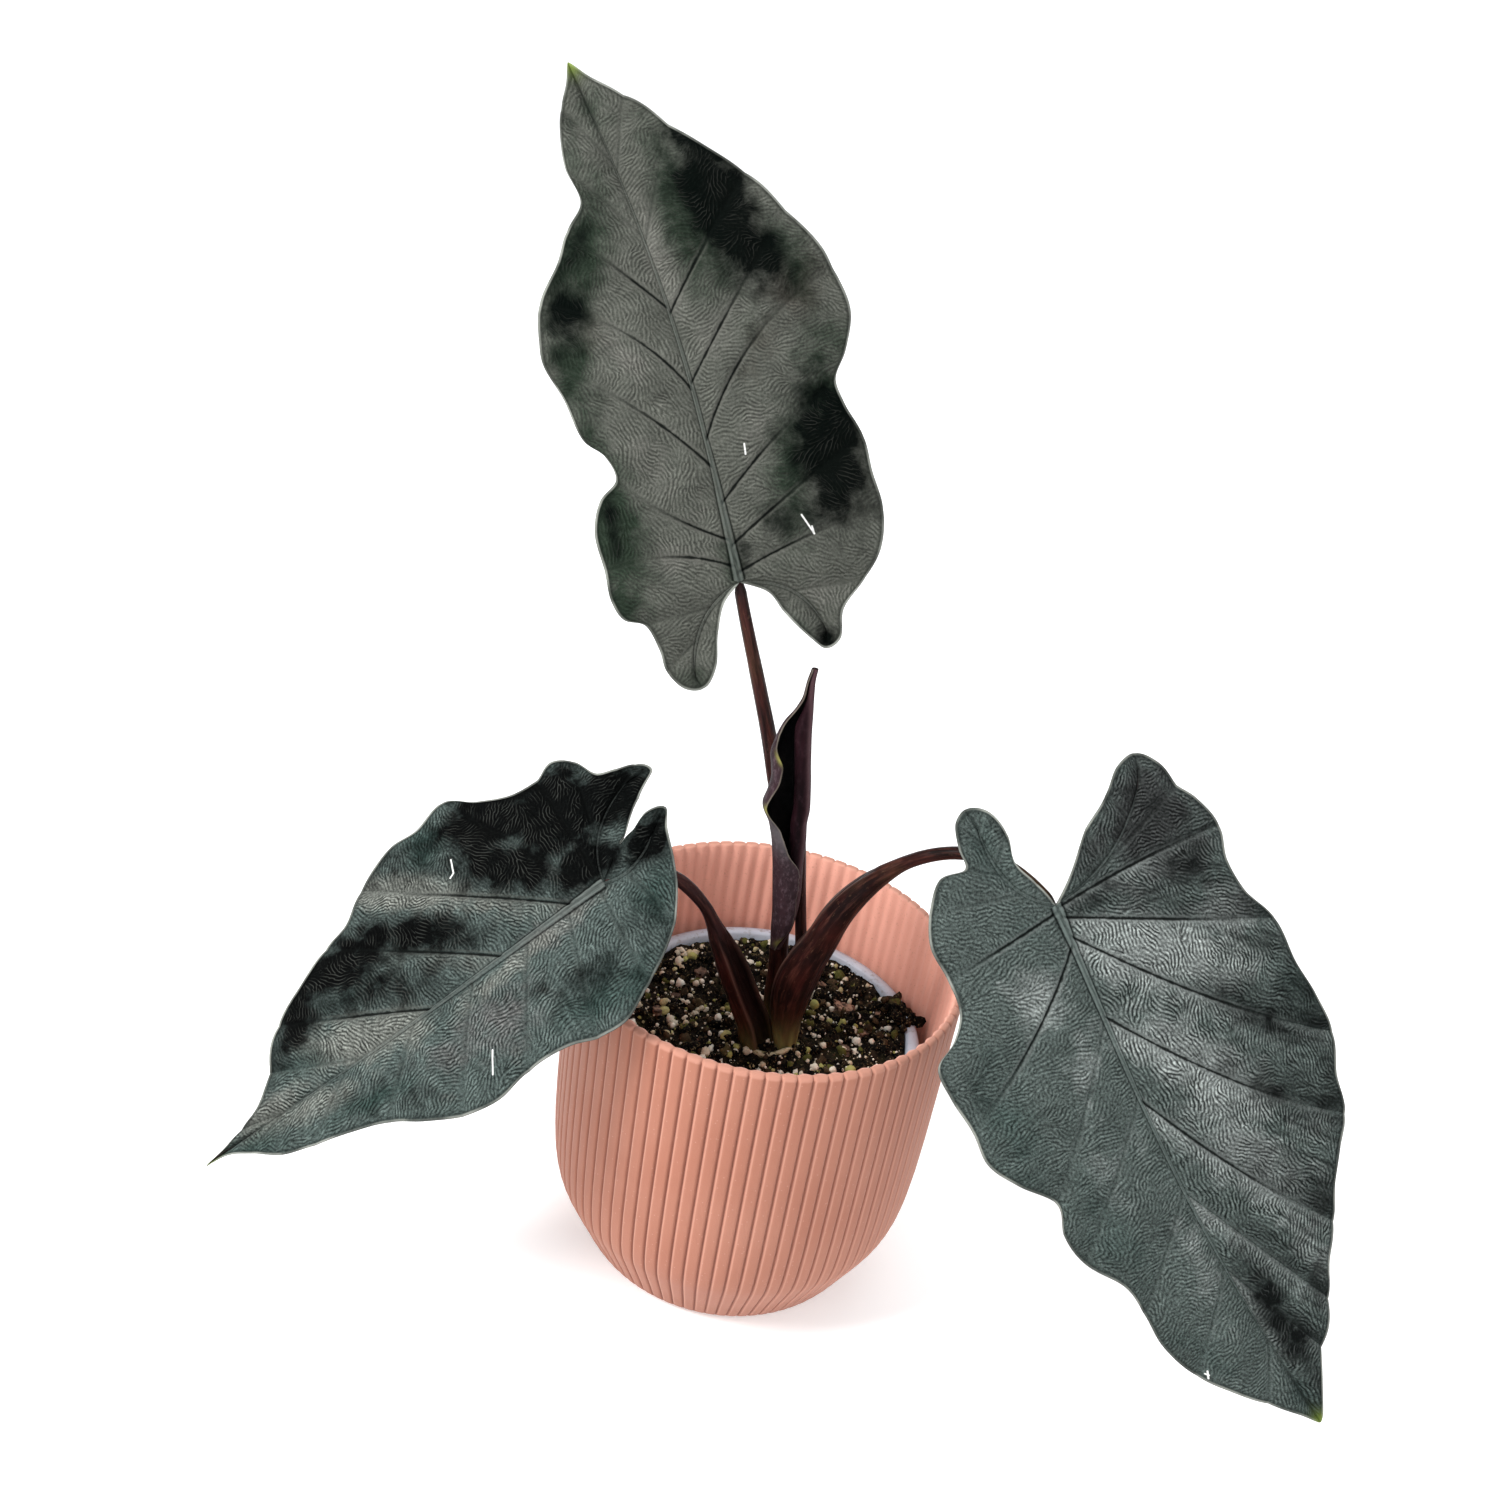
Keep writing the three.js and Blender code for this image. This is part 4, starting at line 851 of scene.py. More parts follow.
def velvet_nap(velvet, leaf, on_leaf, wrinkles, speckle):
    """The nap's colour, with its tints, painted sheen and painted shade in patches and on the panels, painted
    light and shade on its wrinkles and folds, and its veins.
    """
    crisp, light, shade = leaf["contrast"], leaf["light"], leaf["shade"]
    wander = velvet.count("MULTIPLY_ADD", velvet.cloud(9, on_leaf, 4, 0.62), 1.1, -0.55)
    wander = velvet.count("MULTIPLY_ADD", wrinkles, 0.07, wander)

    def patch(kind, strength, full=0.8):
        return velvet.spread(velvet.count("ADD", velvet.reading(kind), wander), 0.25, full, 0, strength)

    def grain(value, low, high, depth):
        return velvet.spread(value, low, high, 1 - depth * crisp, 1 + depth * crisp)

    skin = velvet.tint(patch("warm", 0.85), leaf["skin"], leaf["brown"])
    # Painted sheen in the pale patches.
    skin = velvet.tint(patch("pale", 0.85), skin, light)
    # Painted light on the panels' far sides and painted shade on their near sides.
    skin = velvet.tint(patch("crest", 0.7), skin, light)
    skin = velvet.tint(patch("teal", 0.9), skin, leaf["cool"])
    skin = velvet.tint(patch("painted_panel_shade", 0.8), skin, shade)
    # Painted light and shade on the relief: brighter on the crests and darker in the troughs of the wrinkles,
    # folds and speckled bumps, with random mottling as well.
    mottle = velvet.spread(velvet.cloud(14, on_leaf, 5, 0.65), 0.32, 0.68, 0.78, 1.22)
    relief_shading_and_mottle = velvet.times(grain(wrinkles, -1, 1, 0.62), grain(speckle, 0.32, 0.68, 0.5),
                           grain(velvet.reading("fold"), -1.1, 1.1, 0.16), mottle)
    skin = velvet.glow(skin, relief_shading_and_mottle)
    streak = velvet.spread(velvet.cloud(1.7, velvet.place((0.1, 1, 1), "panel_place"), 3, 0.6), 0.52, 0.36)
    skin = velvet.tint(velvet.times(streak, velvet.reading("streaky")), skin, shade)

    uneven = velvet.spread(velvet.cloud(3, on_leaf, 2), 0.3, 0.7, -0.15, 0.15)
    vein_gap = velvet.count("ADD", velvet.reading("vein_gap"), uneven)
    vein_depth = velvet.reading("vein_depth")
    beside = velvet.times(velvet.spread(vein_gap, 0.45, 0.75), velvet.spread(vein_gap, 1.5, 0.9))
    skin = velvet.tint(velvet.times(beside, vein_depth, 0.28), skin, light)
    glint = velvet.count("ADD", velvet.spread(wrinkles, 0.45, 1, 0, 0.17 * crisp),
                         velvet.spread(speckle, 0.58, 0.72, 0, 0.04 * crisp))
    # Painted shade in the black patches, broken by painted glints on the wrinkle crests and speckles.
    skin = velvet.tint(patch("black", 0.98, 0.72), skin, velvet.tint(glint, shade, light))
    in_vein = velvet.spread(vein_gap, 0.55, 0.2, 0, 0.95)
    return velvet.tint(velvet.times(in_vein, vein_depth), skin, vein_black)


def velvet_ribs(velvet, leaf, skin):
    """The midrib's pale streaks, partly its own paler tone and partly painted highlight, with a darker centre
    line, and painted shade in the two grooves beside it.
    """
    rib_gap, rib_share = velvet.reading("rib_gap"), velvet.reading("rib_share")
    lengthwise = velvet.place((0.12, 1, 1), "leaf_place")
    streaks = velvet.spread(velvet.cloud(0.7, lengthwise, 2), 0.35, 0.65, 0.35, 1)
    pale, crest = velvet.spread(rib_gap, 1.15, 0.85), velvet.spread(rib_gap, 0.5, 0.2, 0, 0.45)
    skin = velvet.tint(velvet.times(pale, rib_share, streaks), skin, leaf["rib"])
    skin = velvet.tint(velvet.times(crest, rib_share), skin, leaf["shade"])
    # Painted shade in the grooves beside the rib.
    groove = velvet.times(velvet.spread(rib_gap, 0.9, 1.2), velvet.spread(rib_gap, 1.75, 1.3))
    return velvet.tint(velvet.times(groove, velvet.spread(rib_share, 0, 1, 0.35, 0.9)), skin, leaf["shade"])


def velvet_underside(velvet, on_leaf, speckle):
    """The leaf's dull mauve-grey back, with darker, pale-crested veins."""
    back = velvet.tint(velvet.spread(velvet.cloud(26, on_leaf, 4), 0.35, 0.65), *back_greys)
    back = velvet.glow(back, velvet.spread(speckle, 0.32, 0.68, 0.8, 1.2))
    vein = velvet.reading("under_vein")
    back = velvet.tint(velvet.spread(vein, 0.02, 0.5, 0, 0.55), back, back_vein)
    return velvet.tint(velvet.spread(vein, 0.7, 0.95, 0, 0.7), back, back_vein_crest)


def velvet_leaf(name, leaf):
    velvet = Finish(f"{name}_leaf_velvet", 0.7, specular_ior_level=0.015, sheen_weight=0.004,
                    sheen_roughness=0.4)
    on_leaf = velvet.place((1, 1, 1), "leaf_place")
    wrinkles = velvet_wrinkles(velvet, leaf, on_leaf)
    speckle = velvet.cloud(0.9, on_leaf, 3, 0.75)
    skin = velvet_ribs(velvet, leaf, velvet_nap(velvet, leaf, on_leaf, wrinkles, speckle))
    margin_gap = velvet.reading("margin_gap")
    skin = velvet.tint(velvet.spread(margin_gap, 2.2, 1.2, 0, 0.45), skin, leaf["shade"])
    broken = velvet.spread(velvet.cloud(14, on_leaf, 2), 0.4, 0.6, 0.2, 0.85)
    skin = velvet.tint(velvet.times(velvet.spread(margin_gap, 0.95, 0.5), broken), skin, pale_margin)
    skin = velvet.tint(velvet.reading("tip_green"), skin, tip_green)
    for ends in lint[name]:
        thread = velvet.spread(velvet.from_segment(on_leaf, *ends), 0.34 * MM, 0.2 * MM)
        skin = velvet.tint(thread, skin, lint_white)
    velvet.colour(velvet.tint(velvet.reading("under"), skin, velvet_underside(velvet, on_leaf, speckle)))
    velvet.emboss(wrinkles, 0.11)
    velvet.emboss(speckle, 0.12)
    return velvet


def blade_surface(leaf):
    """The bent sheet that a blade lies on, as a function of along, across and height."""
    junction, chord = np.array(leaf["junction"], float), np.array(leaf["tip"], float) - leaf["junction"]
    chord /= np.linalg.norm(chord)
    facing = np.array(leaf["facing"], float)
    facing -= facing.dot(chord) * chord
    facing /= np.linalg.norm(facing)
    across = np.cross(chord, facing)
    half = leaf["bend"] / 2
    start = cos(half) * chord + sin(half) * facing
    up = cos(half) * facing - sin(half) * chord

    def place(u, v, height):
        curvature = np.where(u >= 0, leaf["bend"] / leaf["length"], leaf["lobe_curl"])
        turn = curvature * u
        lift = height - leaf["droop"] * (v / 50) ** 2
        ahead = np.sin(turn) / curvature + np.sin(turn) * lift
        above = (np.cos(turn) - 1) / curvature + np.cos(turn) * lift
        return junction + ahead[..., None] * start + above[..., None] * up + v[..., None] * across
    return place


def from_line(points, line):
    """Distance of each point from a line of points, and the share along it."""
    points, line = np.asarray(points, float), np.asarray(line, float)
    a, b = line[:-1], line[1:]
    span = b - a
    length = np.maximum((span ** 2).sum(1), 1e-9)
    share = np.clip(((points[:, None] - a) * span).sum(2) / length, 0, 1)
    gap = np.linalg.norm(points[:, None] - (a + share[..., None] * span), axis=2)
    nearest = gap.argmin(1)
    rows = np.arange(len(points))
    return gap[rows, nearest], (nearest + share[rows, nearest]) / len(span)


def rib_foot(leaf, side, step):
    """A foot, counted in steps: down the midrib from the tip, out along the lobe's rib and
    back, then on to the notch. Gives its place and a name shared by both its sides."""
    if step <= midrib_steps:
        u = leaf["length"] * (1 - step / midrib_steps)
        return (u, leaf["bow"] * sin(pi * u / leaf["length"])), ("midrib", step)
    out = (step - midrib_steps) / lobe_rib_steps
    if out > 2:
        share = min(1, (out - 2) * lobe_rib_steps / notch_steps)
        return (leaf["sinus"][0] * share, leaf["sinus"][1] * share), ("notch", step)
    t = out if out <= 1 else 2 - out
    control, end = leaf[side + "_rib"]
    place = tuple(2 * t * (1 - t) * c + t * t * e for c, e in zip(control, end))
    turned = step if out <= 1 else 2 * (midrib_steps + lobe_rib_steps) - step
    return place, (side, turned) if turned != midrib_steps else ("midrib", midrib_steps)


def foot_steps(leaf, foot):
    """The step of a foot that is given by a distance along the midrib or a number below zero."""
    if foot >= 0:
        return midrib_steps * (1 - foot / leaf["length"])
    if foot >= -2:
        return midrib_steps - foot * lobe_rib_steps
    return midrib_steps + 2 * lobe_rib_steps - (foot + 2) * notch_steps


def vein_strength(leaf, side, foot):
    """How plainly a side vein shows. Those on the lobe's own rib are faint."""
    if foot < 0:
        return 0.3
    begin, end, others = leaf["veins"][side]
    return 1 if begin <= foot < end else others


def blade_panels(leaf, side):
    """The panels of one half of a blade, each reaching from a side vein to the next. Lines run
    through a panel from foot to edge, and "across" is each line's share of the way over it."""
    length = leaf["length"]
    notch_foot = -2 if leaf["sinus"][0] == 0 else -3
    marks = [(length, 0, length), *leaf[side], (*leaf["sinus"], notch_foot)]
    outline = [mark[:2] for mark in marks]
    last = len(marks) - 1
    veined = [index for index, mark in enumerate(marks) if len(mark) > 2]
    panels = []
    for ends in zip(veined, veined[1:]):
        trace = smooth_line(outline, np.linspace(*ends, 40) / last)
        panel_length = np.linalg.norm(np.diff(trace, axis=0), axis=1).sum()
        feet = [foot_steps(leaf, marks[end][2]) for end in ends]
        count = int(max(np.ceil(panel_length / line_gap), abs(round(feet[1]) - round(feet[0])), 4))
        share = np.arange(0 if ends[0] == 0 else 1, count + 1) / count
        step = feet[0] + (feet[1] - feet[0]) * share
        foot = np.array([rib_foot(leaf, side, s)[0] for s in step])
        chord = smooth_line(outline, (ends[0] + (ends[1] - ends[0]) * share) / last) - foot
        sweeps = [marks[end][3] if len(marks[end]) > 3 else 0 for end in ends]
        panels.append(SimpleNamespace(
            across=share[:, None], step=step, foot=foot, chord=chord,
            reach=np.linalg.norm(chord, axis=1)[:, None], sweep=sweeps[0] + (sweeps[1] - sweeps[0]) * share,
            swell=leaf["pleat"] * min(1, panel_length / full_pleat_length),
            strengths=[vein_strength(leaf, side, marks[end][2]) for end in ends],
            on_midrib=(step <= midrib_steps)[:, None], along=np.clip(foot[:, 0] / length, 0, 1)[:, None]))
    return panels


def lay(panel, rows):
    """A panel's sheet, arched up between its veins, with its lines cut into the given rows."""
    s = rows[None, :]
    normal = np.stack([np.abs(panel.chord[:, 1]), -np.sign(panel.chord[:, 1]) * panel.chord[:, 0]], axis=-1)
    normal /= np.maximum(panel.reach, 1e-6)
    flat = panel.foot[:, None] + panel.chord[:, None] * s[..., None]
    flat = flat + (panel.sweep[:, None] * 4 * s * (1 - s))[..., None] * normal[:, None]
    out = panel.reach * s
    valley = valley_depth * (1 - np.exp(-out ** 2 / (7 * (out + 1.5))))
    height = valley + panel.swell * np.sin(pi * panel.across) * s * (1.5 - 0.5 * s)
    width = np.linalg.norm(flat[0] - flat[-1], axis=1)[None, :] * panel_lean
    return flat, s, out, height, panel.reach * (1 - s), width


def rib_share(on_midrib, along):
    """How plain the pale rib is: it fades along the midrib, and is faint on the lobes."""
    return np.where(on_midrib, 0.25 + 0.75 * (1 - along) ** 2, 0.2)


def keel_share(on_midrib, along):
    """How much of its full depth the keel under a rib has."""
    return np.where(on_midrib, np.minimum(1, (1 - along) * 1.6), 0.4)


def knobs(flat, size, seed):
    """Soft bumps of the given size, from about -1 to 1."""
    bumps = [noise.noise(Vector((a / size, b / size, seed))) for a, b in flat.reshape(-1, 2)]
    return np.array(bumps).reshape(flat.shape[:2])


def upper_side(leaf, side, panel, first_vein):
    """The velvet side of a panel: its places, its relief, and the readings for its finish."""
    flat, s, out, height, margin_gap, width = lay(panel, upper_rows)
    across, on_midrib, along = panel.across, panel.on_midrib, panel.along
    gaps, depths = [], []
    for vein, strength in zip((first_vein, flat[-1][::3]), panel.strengths):
        gap, share = from_line(flat.reshape(-1, 2), flat[0][::3] if vein is None else vein)
        fading = np.clip((share - leaf["vein_end"] + 0.35) / 0.35, 0, 0.85)
        gaps.append(gap.reshape(out.shape))
        depths.append(strength * (1 - fading).reshape(out.shape))
    vein_gap = np.minimum(*gaps)
    vein_depth = np.where(gaps[0] < gaps[1], *depths)
    vein = vein_depth * np.exp(-(vein_gap / 0.55) ** 2)
    shoulder = vein_depth * np.exp(-((vein_gap - 1.5) / 0.8) ** 2)

    rib_half_width = rib_base_half_width * (1 - along) ** 1.3 + rib_tip_half_width
    rib_half_width = np.where(on_midrib, rib_half_width, lobe_rib_half_width)
    from_rib = out * lines_lean
    rib_gap = from_rib / rib_half_width
    rib = np.exp(-rib_gap ** 4)
    rib_groove = np.exp(-((from_rib - 1.35 * rib_half_width) / 0.4) ** 2)

    arc = across * width - 0.75 * (out - 0.37 * out ** 2 / np.maximum(panel.reach, 1))
    calm = (1 - np.exp(-(vein_gap / 1.1) ** 2)) * (1 - np.exp(-(out / (rib_half_width + 1.4)) ** 3))
    calm *= (1 - np.exp(-(margin_gap / 1.6) ** 2)) * leaf["ridged"][side]
    warp = knobs(flat, 11, leaf["length"]) * 2.6 + knobs(flat, 3.4, 4) * 0.9
    fold = np.sin((arc + warp) * 2 * pi / fold_pitch) * calm * (0.8 + 0.9 * knobs(flat, 8, 30))

    relief = height + fold_height * fold + 0.25 * knobs(flat, 6, 12) * calm
    relief = relief - 0.45 * vein + 0.18 * shoulder
    relief = relief + np.where(on_midrib, 0.5 * (1 - along), 0.2) * rib
    relief = relief - 0.35 * rib_groove * (1 - along * 0.5)
    lean = leaf["lean"][side] * on_midrib
    vein_turn = np.unwrap(np.arctan2(panel.chord[:, 1], panel.chord[:, 0]))[:, None]
    outward = 1 if side == "right" else -1
    return flat, relief, {
        "vein_gap": vein_gap, "vein_depth": vein_depth, "rib_gap": rib_gap, "margin_gap": margin_gap,
        "rib_share": rib_share(on_midrib, along), "calm": calm, "fold": fold,
        "wrinkle_turn": vein_turn + (0.8 - 1.6 * across) * outward * (0.4 + 0.6 * s),
        "streaky": leaf["streaky"][side] * on_midrib * np.clip(1.8 * s - 0.5, 0, 1) * calm,
        # Painted shade on each panel's near side and painted light on its far side.
        "painted_panel_shade": lean * np.clip(1 - 1.5 * across, 0, 1) ** 0.7 * (0.3 + 0.7 * s),
        "crest": lean * np.clip(1.5 * across - 0.5, 0, 1) ** 0.7 * (1 - 0.45 * s),
        "out": out, "beside": across * width + 9.7 * panel.step[:1, None],
    }


def lower_side(panel):
    """The back of a panel, with the keel under the rib and the raised veins."""
    flat, s, out, height, margin_gap, width = lay(panel, lower_rows)
    keel_here = keel_share(panel.on_midrib, panel.along)
    keel = keel_depth * np.clip(1 - out / 5, 0, 1) ** 1.5 * keel_here
    thick = blade_thickness - 0.4 * np.exp(-margin_gap / 1.6)
    edge_vein = np.exp(-((panel.across - np.round(panel.across)) * width[:, :1] / 1.2) ** 2)
    ending = np.clip(margin_gap / 12, 0, 1) * (s > 0.02)
    low = height - thick - keel - under_vein_height * edge_vein * ending
    return flat, low, {"under_vein": np.maximum(edge_vein * ending, np.exp(-(out / 2.6) ** 2) * keel_here)}


def nap_patches(patches, u, v):
    """How deep a point lies in the nearest patch: 1 at its centre, a half at its edge."""
    deepest = np.zeros_like(u)
    for along, across, half_length, half_width, turn, *depth in patches:
        c, s = cos(radians(turn)), sin(radians(turn))
        a = ((u - along) * c + (v - across) * s) / half_length
        b = ((v - across) * c - (u - along) * s) / half_width
        deepest = np.maximum(deepest, (depth[0] if depth else 1) * 0.5 ** (a * a + b * b))
    return deepest


def open_blade(name, leaf):
    surface = blade_surface(leaf)
    points, faces, stations, kept = [], [], {}, {}

    def add_points(u, v, height, under, values):
        """Places points on the blade, with readings for its finish, and gives their numbers."""
        first = sum(len(p) for p in points)
        points.append(surface(u, v, height).reshape(-1, 3))
        values = {**dict.fromkeys(zero_readings, 0), **dict.fromkeys(far_readings, 9), **values}
        values.update(u=u, v=v, under=float(under), tip_green=0.9 * np.exp(-((leaf["length"] - u) / 6) ** 2))
        for kind in ("black", "teal", "pale", "warm"):
            values[kind] = nap_patches([] if under else leaf[kind], u, v)
        for key, value in values.items():
            kept.setdefault(key, []).append(np.broadcast_to(value, u.shape).ravel())
        return first + np.arange(u.size).reshape(u.shape)

    def station(side, step, under):
        """The point on the rib that the lines of both sides share."""
        place, key = rib_foot(leaf, side, round(step))
        if (*key, under) not in stations:
            u, v = np.array([place[0]], float), np.array([place[1]], float)
            along = np.clip(u / leaf["length"], 0, 1)
            on_midrib = key[0] == "midrib"
            height = 0.5 * (1 - along) if on_midrib else np.array([0.25])
            if under:
                keel = keel_depth * keel_share(on_midrib, along)
                height = height - blade_thickness - keel * (1 - along ** 3)
            values = {"rib_gap": 9 if under else 0, "rib_share": rib_share(on_midrib, along)}
            stations[(*key, under)] = int(add_points(u, v, height, under, values)[0])
        return stations[(*key, under)]

    for side in ("right", "left"):
        seams, last_vein = {}, None
        for panel in blade_panels(leaf, side):
            upper, lower = upper_side(leaf, side, panel, last_vein), lower_side(panel)
            last_vein = upper[0][-1][::3]
            margins = []
            for under, (flat, height, values) in enumerate((upper, lower)):
                values = {key: np.broadcast_to(value, height.shape)[:, 1:] for key, value in values.items()}
                sheet = add_points(flat[:, 1:, 0], flat[:, 1:, 1], height[:, 1:], under, values)
                feet = np.array([station(side, step, under) for step in panel.step])[:, None]
                sheet = np.concatenate([feet, sheet], axis=1)
                if under in seams:
                    sheet = np.concatenate([seams[under][None], sheet])
                seams[under] = sheet[-1]
                margins.append(sheet[:, -1])
                a, b, c, d = sheet[:-1, :-1], sheet[:-1, 1:], sheet[1:, 1:], sheet[1:, :-1]
                order = (a, b, c, d) if (side == "left") != under else (a, d, c, b)
                faces += np.stack(order, axis=-1).reshape(-1, 4).tolist()
            top, bottom = margins
            order = (top[:-1], top[1:], bottom[1:], bottom[:-1])
            faces += np.stack(order if side == "right" else order[::-1], axis=-1).reshape(-1, 4).tolist()

    faces = [list(dict.fromkeys(face)) for face in faces]
    faces = [face for face in faces if len(face) > 2]
    kept = {key: np.concatenate(values) for key, values in kept.items()}
    for place, parts in (("leaf_place", ("u", "v")), ("panel_place", ("out", "beside"))):
        u, v = (kept.pop(part) for part in parts)
        kept[place] = np.stack([u, v, 0 * u], axis=-1) * MM
    make_piece(f"{name}_blade", np.concatenate(points), faces, velvet_leaf(name, leaf), "leaf_velvet",
               [f"{name}_leaf_blade"], **kept)


for leaf_name, leaf in leaves.items():
    open_blade(leaf_name, leaf)

# Leaf stalks: fleshy dark purple stalks, round above and open below, where each one widens
# into a sheath with two thin lips that clasp the next younger leaf. Points are
# (x, y, z, half width) in mm. The sheath's opening faces the angle "opening", its lips stand
# "lips" radians to both sides of it, and it ends at the share "sheath_top" of the stalk.
# "flush" is how mauve the sheath and the stalk above it are, and "green" how green the foot is.
rings_per_point, stalk_sides = 16, 64
stalks = {
    "left": {
        "points": [
            (2.2, -9, 90.5, 6.1), (-1.3, -9, 102, 6), (-5.2, -9, 110, 5.8), (-9.4, -9, 118.5, 5.6),
            (-13, -9.5, 126.5, 5.2), (-17.5, -10, 135, 3.8), (-20.4, -10.5, 141, 2.5),
            (-23.2, -11, 146.3, 2.2), (-26.5, -12, 150.8, 2.2), (-30.2, -13, 154.8, 2.3),
            (-34, -14.5, 158.3, 2.3), (-39.5, -17, 161.5, 2.3), (-45, -20, 163.3, 2.3),
            (-50, -23, 163.7, 2.2), (-54.5, -27, 162.3, 2), (-56.4, -29, 161.4, 1.9),
        ],
        "opening": -38, "lips": 0.75, "sheath_top": 0.36, "flush": (0.05, 0.45), "green": 0.25,
    },
    "right": {
        "points": [
            (12.3, -8, 90.5, 3.4), (10.6, -8, 103, 5.4), (10.2, -8, 113, 7), (11.2, -8, 123, 7.8),
            (13.3, -8, 131.5, 7.2), (16.4, -8, 139.5, 6.3), (19, -8, 147.5, 5.9), (22, -8.5, 155, 5.3),
            (25.6, -9.2, 162, 4.7), (29.6, -10, 168.3, 4), (34, -12, 174.5, 3), (38.8, -13, 179.7, 2.3),
            (44, -14.5, 184.2, 2.2), (49.6, -16, 187.7, 2.2), (54.8, -18, 190.3, 2.2),
            (61, -20.5, 192.2, 2.2), (69, -24, 192.8, 2.1), (77, -29, 191.2, 2.1), (83.5, -32.5, 188, 2),
            (85.4, -34, 187, 1.9),
        ],
        "opening": 165, "lips": 0.6, "sheath_top": 0.52, "flush": (0.08, 0), "green": 0.9,
    },
    "upright": {
        "points": [
            (6.5, 4.8, 90.5, 4.2), (5.2, 6.8, 98, 4), (4.3, 7.5, 106.5, 3.9), (3.9, 8.2, 115, 3.7),
            (3.1, 9, 123, 3.5), (2.3, 9.7, 133.5, 3.3), (0.4, 10.7, 147.5, 3.2), (-1.9, 11.7, 161, 3),
            (-3.9, 12.5, 172.5, 3), (-5.8, 13.2, 180, 2.9), (-8.2, 14, 187, 2.8), (-12.6, 15.8, 201, 2.7),
            (-17.5, 18.3, 214.3, 2.5), (-22.4, 20.6, 227.3, 2.3), (-27.2, 22.5, 240, 2.1),
            (-30.2, 23.2, 249, 2), (-31, 22.5, 252.8, 2),
        ],
        "opening": 180, "lips": 0.62, "sheath_top": 0.3, "flush": (0.1, 0.3), "green": 0.3,
    },
    "new": {
        "points": [
            (13.3, 2.8, 91, 2.4), (13.8, 4, 102, 2.4), (13.3, 4.6, 113, 2.3), (12.1, 4.4, 122, 2.2),
            (9.2, 3.8, 139, 2), (6.6, 3.2, 155.5, 1.9), (4.7, 2.8, 168, 1.8), (3.4, 2.4, 176.5, 1.6),
        ],
        "opening": 0, "lips": 0.62, "sheath_top": 0, "flush": (0.1, 0.6), "green": 0.3,
    },
}


def purple_stalk():
    stalk = Finish("purple_stalk", 0.36, specular_ior_level=0.06, sheen_weight=0.002)
    streaks = stalk.place((1, 1, 0.1), "stalk_place")
    anywhere = stalk.place((1, 1, 0.5), "stalk_place")
    red_dark, brown_black, olive = (0.029, 0.0058, 0.0042), (0.0055, 0.0018, 0.0016), (0.040, 0.022, 0.008)
    mauve, red_streak, tan_fleck = (0.052, 0.026, 0.027), (0.10, 0.034, 0.024), (0.17, 0.09, 0.05)
    pale_green, channel_shade, lip_highlight = (0.36, 0.35, 0.13), (0.004, 0.002, 0.002), (0.17, 0.10, 0.08)
    body = stalk.clouded(red_dark, brown_black, (7, anywhere, 3), 0.4, 0.6)
    body = stalk.clouded(body, olive, (20, anywhere, 2), 0.54, 0.68, 0, 0.8)
    flushed = stalk.times(stalk.reading("flush"), stalk.spread(stalk.cloud(9, streaks, 2), 0.3, 0.6, 0.6, 1))
    body = stalk.tint(flushed, body, mauve)
    body = stalk.clouded(body, red_streak, (1.5, streaks, 4, 0.65), 0.49, 0.68, 0, 0.5)
    body = stalk.clouded(body, brown_black, (2.3, streaks, 3), 0.5, 0.4, 0, 0.7)
    flecks = stalk.place((1, 1, 0.35), "stalk_place")
    body = stalk.clouded(body, tan_fleck, (1.1, flecks, 3, 0.7), 0.62, 0.74, 0, 0.33)
    body = stalk.tint(stalk.reading("foot_green"), body, pale_green)
    # Painted shade inside the sheath's open channel.
    body = stalk.tint(stalk.reading("channel"), body, channel_shade)
    # A painted highlight along the sheath's lips.
    stalk.colour(stalk.tint(stalk.reading("lip"), body, lip_highlight))
    stalk.emboss(stalk.cloud(0.8, streaks, 3), 0.22)
    return stalk


